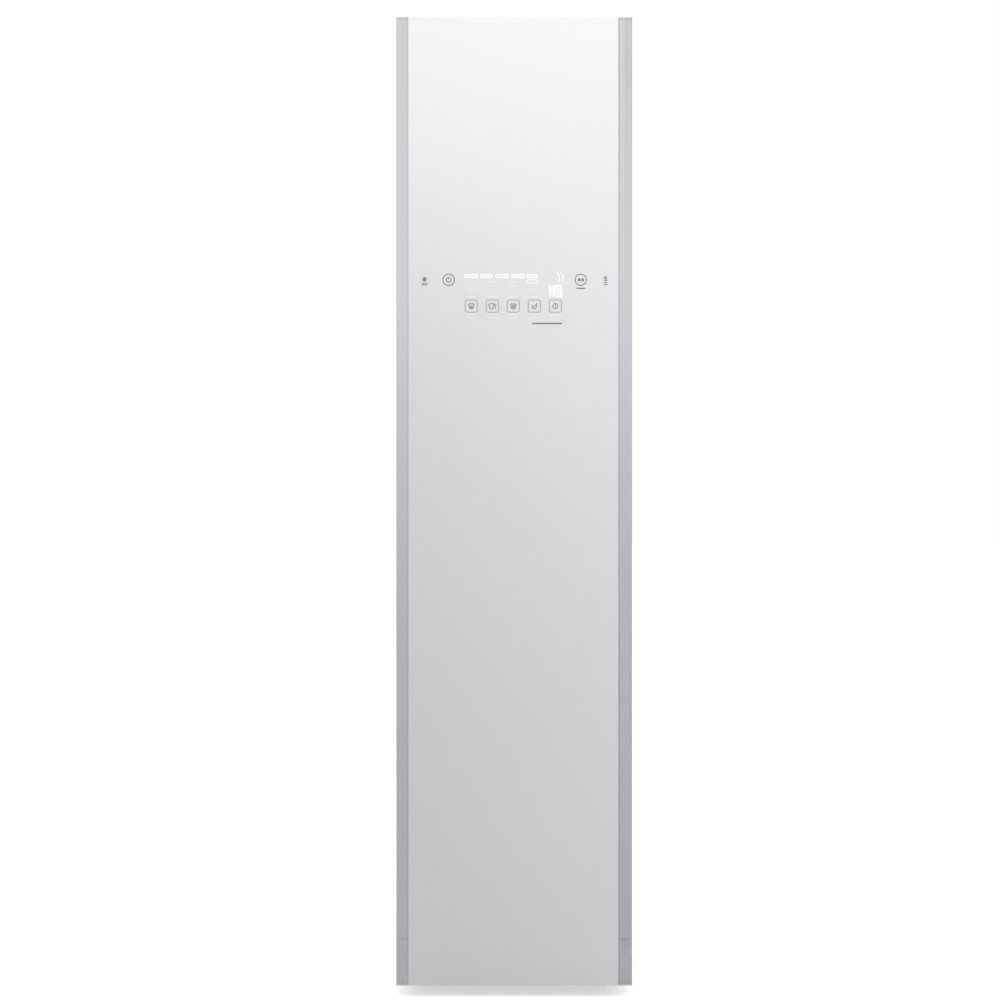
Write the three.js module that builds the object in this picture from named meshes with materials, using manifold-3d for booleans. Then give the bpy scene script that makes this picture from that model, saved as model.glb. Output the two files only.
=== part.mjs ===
// A tall, narrow clothes care steam cabinet. Its one door hides a steam chamber with a shaken
// hanger bar, a lint filter and an aroma case in the chamber's floor, two water tanks under it,
// and a heat pump, a blower and a steam boiler behind them. Millimetres, +Z up, the door faces -Y,
// +X is on the right of someone who faces the door, and the origin is on the floor at the centre.

import * as THREE from 'three';
import { mergeVertices } from 'three/addons/utils/BufferGeometryUtils.js';
import Module from 'manifold-3d';

const wasm = await Module();
wasm.setup();

// Overall size of the cabinet with its door
const WIDTH = 445;
const HEIGHT = 1850;
const DEPTH = 585;

// Clearances
const FIT = 0.3; // between fixed pieces that touch, and round a turning pin
const SLIP = 1.2; // round a piece that is lifted out by hand
const OVERRUN = 4; // how far a cut runs past the face that it opens

// Door, from its glass to the seal on its back
const DOOR_LIFT = 24; // lower edge of the door above the floor
const DOOR_DEPTH = 55;
const SEAL_GAP = 8; // closed door to cabinet front
const GLASS_THICKNESS = 4;
const GLASS_RECESS = 0.5; // glass face behind the faces of the side trims
const TRIM_LEFT_WIDTH = 22;
const TRIM_RIGHT_WIDTH = 26;
const TRIM_WALL = 3;
const TRIM_END_HEIGHT = 88; // separate lower end of each side trim
const CAP_THICKNESS = 4; // plates that close the top and the bottom of the door
const DOOR_LINER = 2.5;

// Door hinge
const HINGE_INSET = 12; // hinge axis from the cabinet's side
const HINGE_SETBACK = 27.5; // hinge axis from the door's face
const HINGE_PIN_RADIUS = 4;
const HINGE_BOSS = 12; // height of the boss in a door cap, cap plate included
const HINGE_PLATE = 5; // thickness of a bracket's arm
const HINGE_LEAF = 2.5;
const HINGE_NOTCH = 9; // free height in the door over and under an arm
const HINGE_FRONT_WALL = 9; // what stays of the door in front of an arm

// Cabinet walls
const SHEET = 0.8; // steel skin
const FLANGE = 18; // turned-in edges of the side skins
const LINER = 3; // chamber walls
const WALL = 32; // outside of the cabinet to the chamber's face
const FRAME_DEPTH = 14; // frame round the two front openings
const BAY_SILL = 12; // lip in front of the tanks

// Heights above the floor, and depths from the cabinet's front
const BASE_LIFT = 26;
const BAY_FLOOR = 60;
const BAY_HEIGHT = 222;
const CHAMBER_FLOOR = 400;
const DRIVE_SPACE = 123; // chamber's ceiling to the top cover, for the hanger drive
const COVER_DROP = 6; // top of the cabinet under the top of the door
const COVER_HEIGHT = 16;
const BAY_DEPTH = 126;
const BACK_SPACE = 52; // behind the chamber

// Feet
const FOOT_INSET = 38; // from the cabinet's side
const FOOT_FRONT_SETBACK = 117.5; // from the door's face
const FOOT_REAR_SETBACK = 55; // from the back
const FOOT_RADIUS = 17;
const FOOT_STEM_RADIUS = 5;
const FOOT_COLLAR_RADIUS = 11;
const PAN_FLOOR = 3;
const PAN_GAP = 1; // rim of the pan to the bay over it
const PAN_BOSS_DROP = 6; // top of a foot's boss under the rim

// Hanger bar and its drive
const HANGER_BAR_DROP = 65; // centre of the bar under the ceiling
const HANGER_BAR_GAP = 40.5; // end of the bar to the chamber's wall
const HANGER_STROKE = 15; // each way from the middle
const POST_DISTANCE = 180; // between the bar's two posts
const POST_RADIUS = 6;
const ROD_RADIUS = 5;
const ROD_DISTANCE = 96; // between the guide rods
const ROD_SPAN = 300; // between the bracket's end plates
const ROD_RISE = 40; // rod centres above the ceiling plate
const BRIDGE_RISE = 84; // underside of the bridge above the ceiling plate
const BRIDGE_THICKNESS = 5;
const YOKE_DROP = 30; // top of the crank's yoke under the bridge
const CRANK_PULLEY_RADIUS = 36;
const MOTOR_PULLEY_RADIUS = 12;
const PULLEY_DISTANCE = 120;
const PULLEY_HEIGHT = 8;
const PULLEY_RISE = 3; // pulleys above the bridge
const CRANK_AXLE_RADIUS = 8;
const DRIVE_SHAFT_RADIUS = 5;

// Shelf, filters and tanks
const SHELF_Z = 600; // top of the ledges
const LEDGE = 10;
const SHELF_THICKNESS = 12;
const SHELF_INSET = 41; // shelf to the front frame
const LINT_WIDTH = 150;
const LINT_OVERHANG = 5; // lint filter past the chamber's middle
const LINT_LIFT = 7; // lint filter over the tank bay
const FILTER_THICKNESS = 24;
const FILTER_GAP = 45; // lint filter to the aroma case
const AROMA_WIDTH = 90;
const AROMA_LIFT = 55; // aroma case over the tank bay
const FILTER_SETBACK = 69.5; // middle of both from the cabinet's front
const FILTER_FLANGE = 7;
const FILTER_FLANGE_THICKNESS = 3;
const TANK_HEIGHT = 155;
const TANK_GAP = 3; // round each tank in its bay
const DIVIDER = 3;
const TANK_WALL = 2.5;
const MOUTH_WIDTH = 64;
const MOUTH_LENGTH = 30;
const CAP_PIN_RADIUS = 2.2;
const SPIGOT_RADIUS = 6;

// Blower, heat pump and steam boiler
const BLOWER_Z = 170;
const BLOWER_WIDTH = 70;
const BLOWER_SIDE_GAP = 8.5; // housing to the left liner
const BLOWER_OVERHANG = 2; // housing past the cabinet's middle
const BLOWER_GAP = 25; // condenser to the housing's inlet
const BLOWER_WALL = 4;
const BLOWER_MOTOR_RADIUS = 40;
const DUCT_WIDTH = 72; // blower outlet, up to the grille in the chamber's floor
const IMPELLER_INSET = 17; // impeller's rim inside the housing's
const IMPELLER_SHAFT_RADIUS = 6;
const COIL_SIDE_GAP = 10.5; // coils to the left liner
const COIL_OVERHANG = 20; // coils past the cabinet's middle
const COIL_DEPTH = 46;
const COIL_HEIGHT = 250;
const COIL_BAY_GAP = 8.5; // evaporator to the tank bay
const COIL_GAP = 10; // between the coils
const BOILER_RADIUS = 40;
const BOILER_TOP = 300;
const BOILER_PLACE_SHARE = 0.63; // of the way from the cabinet's middle to the right liner
const BOILER_NECK_RADIUS = 9;
const NOZZLE_DROP = 28; // nozzle's neck under the chamber's floor
const PUMP_WIDTH = 48;
const PUMP_LENGTH = 44;
const PUMP_PITCH = 56;
const PUMP_SIDE_GAP = 26.5; // drain pump to the right liner
const PUMP_BAY_GAP = 12; // pumps to the tank bay
const COMPRESSOR_PLATE_RADIUS = 62;
const COMPRESSOR_SIDE_GAP = 23.5; // its plate to the right liner
const COMPRESSOR_REAR_GAP = 23.6; // its plate to the rear panel
const COMPRESSOR_TOP = 225;

// Trouser press on the inside of the door
const PRESS_BOTTOM = 715;
const PRESS_DROP = 180; // top of the board under the chamber's ceiling
const PRESS_THICKNESS = 16;
const PRESS_GAP = 8.5; // room for a trouser leg between the board and the door
const PRESS_AXIS_INSET = 25.5; // hinge axis, and latch on the other side, from the chamber's walls
const PRESS_PIN_RADIUS = 3;
const PRESS_LATCH_GAP = 15; // free edge of the board to the latch's pivot
const LATCH_THICKNESS = 6;
const LATCH_PIN_RADIUS = 3;
const LATCH_PIN_LENGTH = 8;

// Touch keys printed on the glass, over pads on the board behind it
const KEY_COUNT = 5;
const KEY_FIRST_X = -81;
const KEY_PITCH = 39.6;
const KEY_DROP = 545; // under the top of the door
const BOARD_HEIGHT = 130;
const BOARD_THICKNESS = 8; // with its pads and display, up to the glass
const BOARD_SIDE_GAP = 16.5; // board's end to the glass's right edge
const BOARD_BELOW_KEYS = 49;

// Gland for the mains lead
const GLAND_INSET = 70.5; // from the right liner's face
const GLAND_Z = 74;
const GLAND_RADIUS = 13;

// Planes that the sizes above give
const HALF = WIDTH / 2;
const FRONT_Y = -DEPTH / 2;
const REAR_Y = DEPTH / 2;
const DOOR_BACK_Y = FRONT_Y + DOOR_DEPTH;
const CABINET_FRONT_Y = DOOR_BACK_Y + SEAL_GAP;
const FRAME_BACK_Y = CABINET_FRONT_Y + FRAME_DEPTH;
const CHAMBER_BACK_Y = REAR_Y - BACK_SPACE;
const BAY_BACK_Y = CABINET_FRONT_Y + BAY_DEPTH;
const INNER_X = HALF - WALL;
const SKIN_X = HALF - SHEET;
const PANEL_BACK_Y = REAR_Y - 2 * SHEET - FIT; // inner face of the rear panel
const COVER_TOP = HEIGHT - COVER_DROP;
const COVER_BOTTOM = COVER_TOP - COVER_HEIGHT;
const CEILING_Z = COVER_BOTTOM - DRIVE_SPACE;
const CEILING_TOP = CEILING_Z + LINER;
const BAY_TOP = BAY_FLOOR + BAY_HEIGHT;
const FLOOR_UNDER = CHAMBER_FLOOR - LINER;
const PAN_TOP = BASE_LIFT + PAN_FLOOR; // what stands in the base pan stands here
const PAN_RIM = BAY_FLOOR - LINER - PAN_GAP;
const PAN_BOSS_TOP = PAN_RIM - PAN_BOSS_DROP;
const GLASS_LEFT = -HALF + TRIM_LEFT_WIDTH;
const GLASS_RIGHT = HALF - TRIM_RIGHT_WIDTH;
const GLASS_FRONT_Y = FRONT_Y + GLASS_RECESS;
const GLASS_BACK_Y = GLASS_FRONT_Y + GLASS_THICKNESS;
const LINER_FRONT_Y = DOOR_BACK_Y - DOOR_LINER;
const HINGE_X = HALF - HINGE_INSET;
const HINGE_Y = FRONT_Y + HINGE_SETBACK;
const NOTCH = HINGE_BOSS + HINGE_NOTCH;
const HANGER_Y = (CABINET_FRONT_Y + CHAMBER_BACK_Y) / 2;
const HANGER_BAR_Z = CEILING_Z - HANGER_BAR_DROP;
const MOTOR_Y = HANGER_Y + PULLEY_DISTANCE;
const ROD_Z = CEILING_TOP + ROD_RISE;
const BRIDGE_Z = CEILING_TOP + BRIDGE_RISE;
const PULLEY_Z = BRIDGE_Z + BRIDGE_THICKNESS + PULLEY_RISE;
const CARRIAGE_TOP = ROD_Z - ROD_RADIUS - 2 * FIT;
const SHELF_DEPTH = 2 * (HANGER_Y - FRAME_BACK_Y - SHELF_INSET);
const LINT_X = LINT_OVERHANG - LINT_WIDTH / 2;
const LINT_BOTTOM = BAY_TOP + LINER + LINT_LIFT;
const AROMA_X = LINT_OVERHANG + FILTER_GAP + AROMA_WIDTH / 2;
const AROMA_BOTTOM = BAY_TOP + LINER + AROMA_LIFT;
const FILTER_Y = CABINET_FRONT_Y + FILTER_SETBACK;
const MACHINE_FRONT_Y = BAY_BACK_Y + LINER;
const COIL_LEFT = COIL_SIDE_GAP - INNER_X;
const COIL_WIDTH = COIL_OVERHANG - COIL_LEFT;
const EVAPORATOR_Y = MACHINE_FRONT_Y + COIL_BAY_GAP + COIL_DEPTH / 2;
const CONDENSER_Y = EVAPORATOR_Y + COIL_DEPTH + COIL_GAP;
const BLOWER_RADIUS = (INNER_X - BLOWER_SIDE_GAP + BLOWER_OVERHANG) / 2;
const BLOWER_X = BLOWER_OVERHANG - BLOWER_RADIUS;
const BLOWER_FRONT_Y = CONDENSER_Y + COIL_DEPTH / 2 + BLOWER_GAP;
const BLOWER_BACK_Y = BLOWER_FRONT_Y + BLOWER_WIDTH;
const BLOWER_Y = (BLOWER_FRONT_Y + BLOWER_BACK_Y) / 2;
const IMPELLER_RADIUS = BLOWER_RADIUS - IMPELLER_INSET;
const DUCT_X = BLOWER_X - BLOWER_RADIUS + DUCT_WIDTH / 2;
const DRAIN_PUMP_X = INNER_X - PUMP_SIDE_GAP - PUMP_WIDTH / 2;
const FEED_PUMP_X = DRAIN_PUMP_X - PUMP_PITCH;
const PUMP_FRONT_Y = MACHINE_FRONT_Y + PUMP_BAY_GAP;
const PUMP_BACK_Y = PUMP_FRONT_Y + PUMP_LENGTH;
const COMPRESSOR_X = INNER_X - COMPRESSOR_SIDE_GAP - COMPRESSOR_PLATE_RADIUS;
const COMPRESSOR_Y = PANEL_BACK_Y - COMPRESSOR_REAR_GAP - COMPRESSOR_PLATE_RADIUS;
const BOILER_X = INNER_X * BOILER_PLACE_SHARE;
const BOILER_Y = (PUMP_BACK_Y + COMPRESSOR_Y - COMPRESSOR_PLATE_RADIUS) / 2;
const GLAND_X = INNER_X - GLAND_INSET;
const PRESS_AXIS_X = INNER_X - PRESS_AXIS_INSET;
const LATCH_X = -PRESS_AXIS_X;
const PRESS_FREE_X = LATCH_X + PRESS_LATCH_GAP;
const PRESS_TOP = CEILING_Z - PRESS_DROP;
const PRESS_Y = DOOR_BACK_Y + PRESS_GAP + PRESS_THICKNESS / 2;
const LATCH_Z = (PRESS_BOTTOM + PRESS_TOP) / 2;
const LATCH_Y = PRESS_Y + PRESS_THICKNESS / 2 + 2 * FIT; // back of the latch, just clear of the board
const KEY_Z = HEIGHT - KEY_DROP;

// Paint and plastics: colour, roughness, metalness
const FINISHES = {
  silverGlass: [0xdadadc, 0.18, 0.1],
  satinTrim: [0xbfbec6, 0.35, 0.7],
  greySkin: [0xb9babd, 0.45, 0.3],
  whitePlastic: [0xf0f0ee, 0.5, 0],
  greyPlastic: [0xb8bbbf, 0.5, 0],
  darkPlastic: [0x3a3c40, 0.55, 0],
  blackPlastic: [0x202124, 0.5, 0],
  blackRubber: [0x1c1c1e, 0.85, 0],
  paleRubber: [0xd5d5d2, 0.8, 0],
  blackPaint: [0x25272a, 0.4, 0.2],
  galvanised: [0xa9adb0, 0.5, 0.9],
  steel: [0xc3c5c8, 0.3, 1],
  aluminium: [0xc9ccd0, 0.4, 1],
  copper: [0xb87348, 0.35, 1],
  clearPlastic: [0xcfdde4, 0.15, 0],
  blueClearPlastic: [0x9fc3d8, 0.15, 0],
  lamp: [0xf7f5ea, 0.3, 0],
  foam: [0xf4f2ea, 0.9, 0],
  circuit: [0x1f6b45, 0.5, 0.1],
  padFabric: [0xc9ccd1, 0.9, 0],
};

const cabinet = new THREE.Group();

// Turns a closed geometry into a solid that can be cut and joined.
function solid(geometry) {
  const bare = geometry.clone();
  bare.deleteAttribute('normal');
  bare.deleteAttribute('uv');
  const merged = mergeVertices(bare);
  return new wasm.Manifold(new wasm.Mesh({
    numProp: 3,
    vertProperties: new Float32Array(merged.attributes.position.array),
    triVerts: new Uint32Array(merged.index.array),
  }));
}

// Adds one named piece to the cabinet.
function add(name, body, finish) {
  const mesh = body.getMesh();
  const geometry = new THREE.BufferGeometry();
  const points = new Float32Array(mesh.vertProperties);
  geometry.setAttribute('position', new THREE.BufferAttribute(points, 3));
  geometry.setIndex(new THREE.BufferAttribute(new Uint32Array(mesh.triVerts), 1));
  geometry.computeVertexNormals();
  const [color, roughness, metalness] = FINISHES[finish];
  const material = new THREE.MeshStandardMaterial({ color, roughness, metalness });
  const piece = new THREE.Mesh(geometry, material);
  piece.name = name;
  cabinet.add(piece);
}

const joined = (bodies) => bodies.reduce((whole, body) => whole.add(body));
const cut = (body, cutters) => cutters.reduce((whole, cutter) => whole.subtract(cutter), body);
const span = (centre, size) => [centre - size / 2, centre + size / 2];
const both = (half) => [-half, half];

// A block between two planes on each axis, each pair in any order.
function box(x, y, z) {
  const [width, depth, height] = [x, y, z].map(([a, b]) => Math.abs(b - a));
  const geometry = new THREE.BoxGeometry(width, depth, height);
  geometry.translate((x[0] + x[1]) / 2, (y[0] + y[1]) / 2, (z[0] + z[1]) / 2);
  return solid(geometry);
}

// A flat outline with holes, pushed along one axis between two planes.
// Along Z the outline's points are [x, y], along Y they are [x, z] and along X they are [y, z].
function prism(axis, outline, [from, to], holes = []) {
  const shape = new THREE.Shape(outline.map(([a, b]) => new THREE.Vector2(a, b)));
  for (const hole of holes) {
    shape.holes.push(new THREE.Path(hole.map(([a, b]) => new THREE.Vector2(a, b))));
  }
  const geometry = new THREE.ExtrudeGeometry(shape, { depth: to - from, bevelEnabled: false });
  if (axis === 'y') {
    geometry.rotateX(Math.PI / 2);
    geometry.translate(0, to, 0);
  } else if (axis === 'x') {
    const turn = new THREE.Matrix4().makeBasis(
      new THREE.Vector3(0, 1, 0), new THREE.Vector3(0, 0, 1), new THREE.Vector3(1, 0, 0));
    geometry.applyMatrix4(turn);
    geometry.translate(from, 0, 0);
  } else {
    geometry.translate(0, 0, from);
  }
  return solid(geometry);
}

const rectangle = ([a, b], [c, d]) => [[a, c], [b, c], [b, d], [a, d]];

// Angles in degrees
const QUARTER_TURN = 90;
const HALF_TURN = 180;
const FULL_TURN = 360;

// Points of an arc, from one angle to another.
function arc([a, b], radius, from, to, steps) {
  const points = [];
  for (let i = 0; i <= steps; i += 1) {
    const angle = THREE.MathUtils.degToRad(from + (to - from) * i / steps);
    points.push([a + radius * Math.cos(angle), b + radius * Math.sin(angle)]);
  }
  return points;
}

// A round bar along one axis. The centre gives the other two coordinates, in X, Y, Z order.
function bar(axis, [a, b], radius, [from, to], sides = 20) {
  const geometry = new THREE.CylinderGeometry(radius, radius, to - from, sides);
  const middle = (from + to) / 2;
  if (axis === 'z') {
    geometry.rotateX(Math.PI / 2);
    geometry.translate(a, b, middle);
  } else if (axis === 'x') {
    geometry.rotateZ(Math.PI / 2);
    geometry.translate(middle, a, b);
  } else {
    geometry.translate(a, middle, b);
  }
  return solid(geometry);
}

// A turned piece on an upright axis. Its profile is a list of [radius, z] from the foot up.
function turned([x, y], profile, sides = 24) {
  const geometry = new THREE.LatheGeometry(profile.map(([r, z]) => new THREE.Vector2(r, z)), sides);
  geometry.rotateX(Math.PI / 2);
  geometry.translate(x, y, 0);
  return solid(geometry);
}

// Slots of equal width with equal bars between them, spread over a length.
function slotSpans([from, to], count) {
  const pitch = (to - from) / (count + 1);
  return Array.from({ length: count }, (_, i) => span(from + pitch * (i + 1), pitch / 2));
}

// Outer skins of the cabinet

function sidePanel(name, side) {
  const [front, back] = [FRAME_BACK_Y + FIT, REAR_Y];
  const outline = [
    [HALF - FLANGE, front], [HALF, front], [HALF, back], [HALF - FLANGE, back],
    [HALF - FLANGE, back - SHEET], [SKIN_X, back - SHEET],
    [SKIN_X, front + SHEET], [HALF - FLANGE, front + SHEET],
  ].map(([x, y]) => [side * x, y]);
  add(name, prism('z', outline, [BASE_LIFT, COVER_BOTTOM - FIT]), 'greySkin');
}

function rearPanel() {
  const ventWidth = 150;
  const ventZ = [90, 200];
  const ventCount = 9;
  const plate = box(both(SKIN_X - FIT), [PANEL_BACK_Y, PANEL_BACK_Y + SHEET],
    [BASE_LIFT, COVER_BOTTOM - FIT]);
  const through = [PANEL_BACK_Y - OVERRUN, REAR_Y + OVERRUN];
  const vents = slotSpans(ventZ, ventCount).map((z) => box(span(BLOWER_X, ventWidth), through, z));
  const gland = bar('y', [GLAND_X, GLAND_Z], GLAND_RADIUS - SHEET, through);
  add('rear_panel', cut(plate, [...vents, gland]), 'galvanised');
}

function topCover() {
  const wall = 2.5;
  const shell = box(both(HALF), [CABINET_FRONT_Y, REAR_Y], [COVER_BOTTOM, COVER_TOP]);
  const hollow = box(both(HALF - wall), [CABINET_FRONT_Y + wall, REAR_Y - wall],
    [COVER_BOTTOM - OVERRUN, COVER_TOP - wall]);
  add('top_cover', cut(shell, [hollow]), 'greyPlastic');
}

function frontFrame() {
  const outline = rectangle(both(HALF), [BASE_LIFT, COVER_BOTTOM - FIT]);
  const windows = [
    rectangle(both(INNER_X), [CHAMBER_FLOOR, CEILING_Z]),
    rectangle(both(INNER_X), [BAY_FLOOR + BAY_SILL, BAY_TOP]),
  ];
  add('front_frame', prism('y', outline, [CABINET_FRONT_Y, FRAME_BACK_Y], windows), 'whitePlastic');
}

// Feet and base

const footPlaces = [
  ['foot_front_left', -1, FRONT_Y + FOOT_FRONT_SETBACK],
  ['foot_front_right', 1, FRONT_Y + FOOT_FRONT_SETBACK],
  ['foot_rear_left', -1, REAR_Y - FOOT_REAR_SETBACK],
  ['foot_rear_right', 1, REAR_Y - FOOT_REAR_SETBACK],
];

function basePan() {
  const wall = 2.5;
  const bossRadius = 13;
  const x = SKIN_X - FIT;
  const y = [FRAME_BACK_Y + SHEET + 2 * FIT, PANEL_BACK_Y - FIT];
  const shell = box(both(x), y, [BASE_LIFT, PAN_RIM]);
  const hollow = box(both(x - wall), [y[0] + wall, y[1] - wall], [PAN_TOP, PAN_RIM + OVERRUN]);
  const places = footPlaces.map(([, side, footY]) => [side * (HALF - FOOT_INSET), footY]);
  const bosses = places.map((at) => bar('z', at, bossRadius, [BASE_LIFT, PAN_BOSS_TOP]));
  const holes = places.map((at) => bar('z', at, FOOT_STEM_RADIUS + FIT,
    [BASE_LIFT - OVERRUN, PAN_BOSS_TOP + OVERRUN]));
  add('base_pan', cut(joined([cut(shell, [hollow]), ...bosses]), holes), 'galvanised');
}

function feet() {
  const padHeight = 6;
  const padTaper = 3;
  const stemTop = PAN_BOSS_TOP + padTaper;
  for (const [name, side, y] of footPlaces) {
    const profile = [
      [0, 0], [FOOT_RADIUS, 0], [FOOT_RADIUS, padHeight], [FOOT_RADIUS - padTaper, padHeight + padTaper],
      [FOOT_COLLAR_RADIUS, padHeight + padTaper], [FOOT_COLLAR_RADIUS, BASE_LIFT - FIT],
      [FOOT_STEM_RADIUS, BASE_LIFT - FIT], [FOOT_STEM_RADIUS, stemTop], [0, stemTop],
    ];
    add(name, turned([side * (HALF - FOOT_INSET), y], profile, 20), 'blackPlastic');
  }
}

// Chamber walls, with the bay for the tanks under them

function sideLiner(name, side) {
  const ledgeHeight = 9;
  const wall = box([side * INNER_X, side * (INNER_X + LINER)],
    [FRAME_BACK_Y + FIT, CHAMBER_BACK_Y + LINER], [BAY_FLOOR - LINER, CEILING_TOP]);
  const ledge = box([side * (INNER_X - LEDGE), side * INNER_X], span(HANGER_Y, SHELF_DEPTH),
    [SHELF_Z - ledgeHeight, SHELF_Z]);
  add(name, joined([wall, ledge]), 'whitePlastic');
}

function backLiner() {
  add('liner_back', box(both(INNER_X - FIT), [CHAMBER_BACK_Y, CHAMBER_BACK_Y + LINER],
    [FLOOR_UNDER, CEILING_Z - FIT]), 'whitePlastic');
}

const slotHalf = POST_RADIUS + HANGER_STROKE + 2 * SLIP; // slot in the ceiling for a moving post

function ceiling() {
  const plate = box(both(INNER_X - FIT), [FRAME_BACK_Y + FIT, CHAMBER_BACK_Y + LINER],
    [CEILING_Z, CEILING_TOP]);
  const slots = [-1, 1].map((side) => box(span(side * POST_DISTANCE / 2, 2 * slotHalf),
    span(HANGER_Y, 2 * (POST_RADIUS + 2 * SLIP)), [CEILING_Z - OVERRUN, CEILING_TOP + OVERRUN]));
  add('liner_ceiling', cut(plate, slots), 'whitePlastic');
}

function chamberFloor() {
  const through = [FLOOR_UNDER - OVERRUN, CHAMBER_FLOOR + OVERRUN];
  const plate = box(both(INNER_X - FIT), [FRAME_BACK_Y + FIT, CHAMBER_BACK_Y - FIT],
    [FLOOR_UNDER, CHAMBER_FLOOR]);
  const openings = [
    box(span(LINT_X, LINT_WIDTH + 2 * SLIP), span(FILTER_Y, FILTER_THICKNESS + 2 * SLIP), through),
    box(span(AROMA_X, AROMA_WIDTH + 2 * SLIP), span(FILTER_Y, FILTER_THICKNESS + 2 * SLIP), through),
    box(span(DUCT_X, DUCT_WIDTH), span(BLOWER_Y, BLOWER_WIDTH), through),
    bar('z', [BOILER_X, BOILER_Y], BOILER_NECK_RADIUS + FIT, through),
  ];
  add('chamber_floor', cut(plate, openings), 'whitePlastic');
}

const tankHalf = (INNER_X - TANK_GAP - DIVIDER / 2 - TANK_GAP) / 2;
const tankX = DIVIDER / 2 + TANK_GAP + tankHalf; // centre of a tank from the middle
const tankY = [FRAME_BACK_Y + TANK_GAP, BAY_BACK_Y - TANK_GAP];
const tankMiddleY = (tankY[0] + tankY[1]) / 2;

function tankBay() {
  const spigotHeight = 8;
  const spigotDrop = 10;
  const dividerHeight = 40;
  const front = FRAME_BACK_Y + FIT;
  const back = BAY_BACK_Y + LINER;
  const profile = [
    [front, BAY_FLOOR - LINER], [back, BAY_FLOOR - LINER], [back, BAY_TOP + LINER],
    [front, BAY_TOP + LINER], [front, BAY_TOP], [BAY_BACK_Y, BAY_TOP],
    [BAY_BACK_Y, BAY_FLOOR], [front, BAY_FLOOR],
  ];
  const spigots = [-1, 1].map((side) => bar('z', [side * tankX, tankMiddleY], SPIGOT_RADIUS,
    [BAY_FLOOR - spigotDrop, BAY_FLOOR + spigotHeight]));
  const divider = box(both(DIVIDER / 2), [front, BAY_BACK_Y], [BAY_FLOOR, BAY_FLOOR + dividerHeight]);
  add('tank_bay', joined([prism('x', profile, both(INNER_X - FIT)), divider, ...spigots]), 'greyPlastic');
}

// Water tanks with hinged caps

const capAxisY = tankMiddleY + MOUTH_LENGTH; // hinge of a tank's cap
const mouthY = [capAxisY - 2 * SLIP - MOUTH_LENGTH, capAxisY - 2 * SLIP];
const tankTop = BAY_FLOOR + FIT + TANK_HEIGHT;
const capThickness = 3;
const capAxisZ = tankTop + FIT + CAP_PIN_RADIUS;

function tank(name, side, finish) {
  const gripWidth = 80;
  const gripHeight = 28;
  const gripDepth = 20;
  const gripDrop = 22; // top of the finger grip under the top of the tank
  const earWidth = 5;
  const earReach = 4;
  const x = span(side * tankX, 2 * tankHalf);
  const z = [BAY_FLOOR + FIT, tankTop];
  const shell = box(x, tankY, z);
  const hollow = box([x[0] + TANK_WALL, x[1] - TANK_WALL],
    [tankY[0] + TANK_WALL, tankY[1] - TANK_WALL], [z[0] + TANK_WALL, z[1] - TANK_WALL]);
  const gripZ = [tankTop - gripDrop - gripHeight, tankTop - gripDrop];
  const grip = box(span(side * tankX, gripWidth), [tankY[0] - OVERRUN, tankY[0] + gripDepth], gripZ);
  const gripWall = box(span(side * tankX, gripWidth + 2 * TANK_WALL),
    [tankY[0] - OVERRUN, tankY[0] + gripDepth + TANK_WALL],
    [gripZ[0] - TANK_WALL, gripZ[1] + TANK_WALL]);
  const mouth = box(span(side * tankX, MOUTH_WIDTH), mouthY, [tankTop - 2 * TANK_WALL, tankTop + OVERRUN]);
  const valve = bar('z', [side * tankX, tankMiddleY], SPIGOT_RADIUS + SLIP,
    [z[0] - OVERRUN, z[0] + 2 * TANK_WALL]);
  const earTop = capAxisZ + earReach;
  const ears = [-1, 1].map((end) => {
    const centre = side * tankX + end * (MOUTH_WIDTH / 2 + earWidth / 2 + SLIP + 2 * FIT);
    return box(span(centre, earWidth), span(capAxisY, 2 * earReach), [tankTop - TANK_WALL, earTop]);
  });
  const pinHole = bar('x', [capAxisY, capAxisZ], CAP_PIN_RADIUS + FIT,
    span(side * tankX, MOUTH_WIDTH + 4 * earWidth), 16);
  const vessel = cut(shell, [hollow.subtract(gripWall), grip, mouth, valve]);
  add(name, cut(joined([vessel, ...ears]), [pinHole]), finish);
}

function tankCap(name, side) {
  const rim = 3; // cap over the edges of the mouth
  const tab = 5; // lifting tab in front
  const x = side * tankX;
  const front = mouthY[0] - rim;
  const z = [tankTop + FIT, tankTop + FIT + capThickness];
  const plate = box(span(x, MOUTH_WIDTH + 2 * SLIP), [front, capAxisY], z);
  const lip = box(span(x, MOUTH_WIDTH / 2), [front - tab, front], z);
  const knuckle = bar('x', [capAxisY, capAxisZ], CAP_PIN_RADIUS,
    span(x, MOUTH_WIDTH + 2 * SLIP + 2 * tab), 16);
  add(name, joined([plate, lip, knuckle]), 'darkPlastic');
}

// Pieces that are lifted out of the chamber's floor, and the shelf

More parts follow.
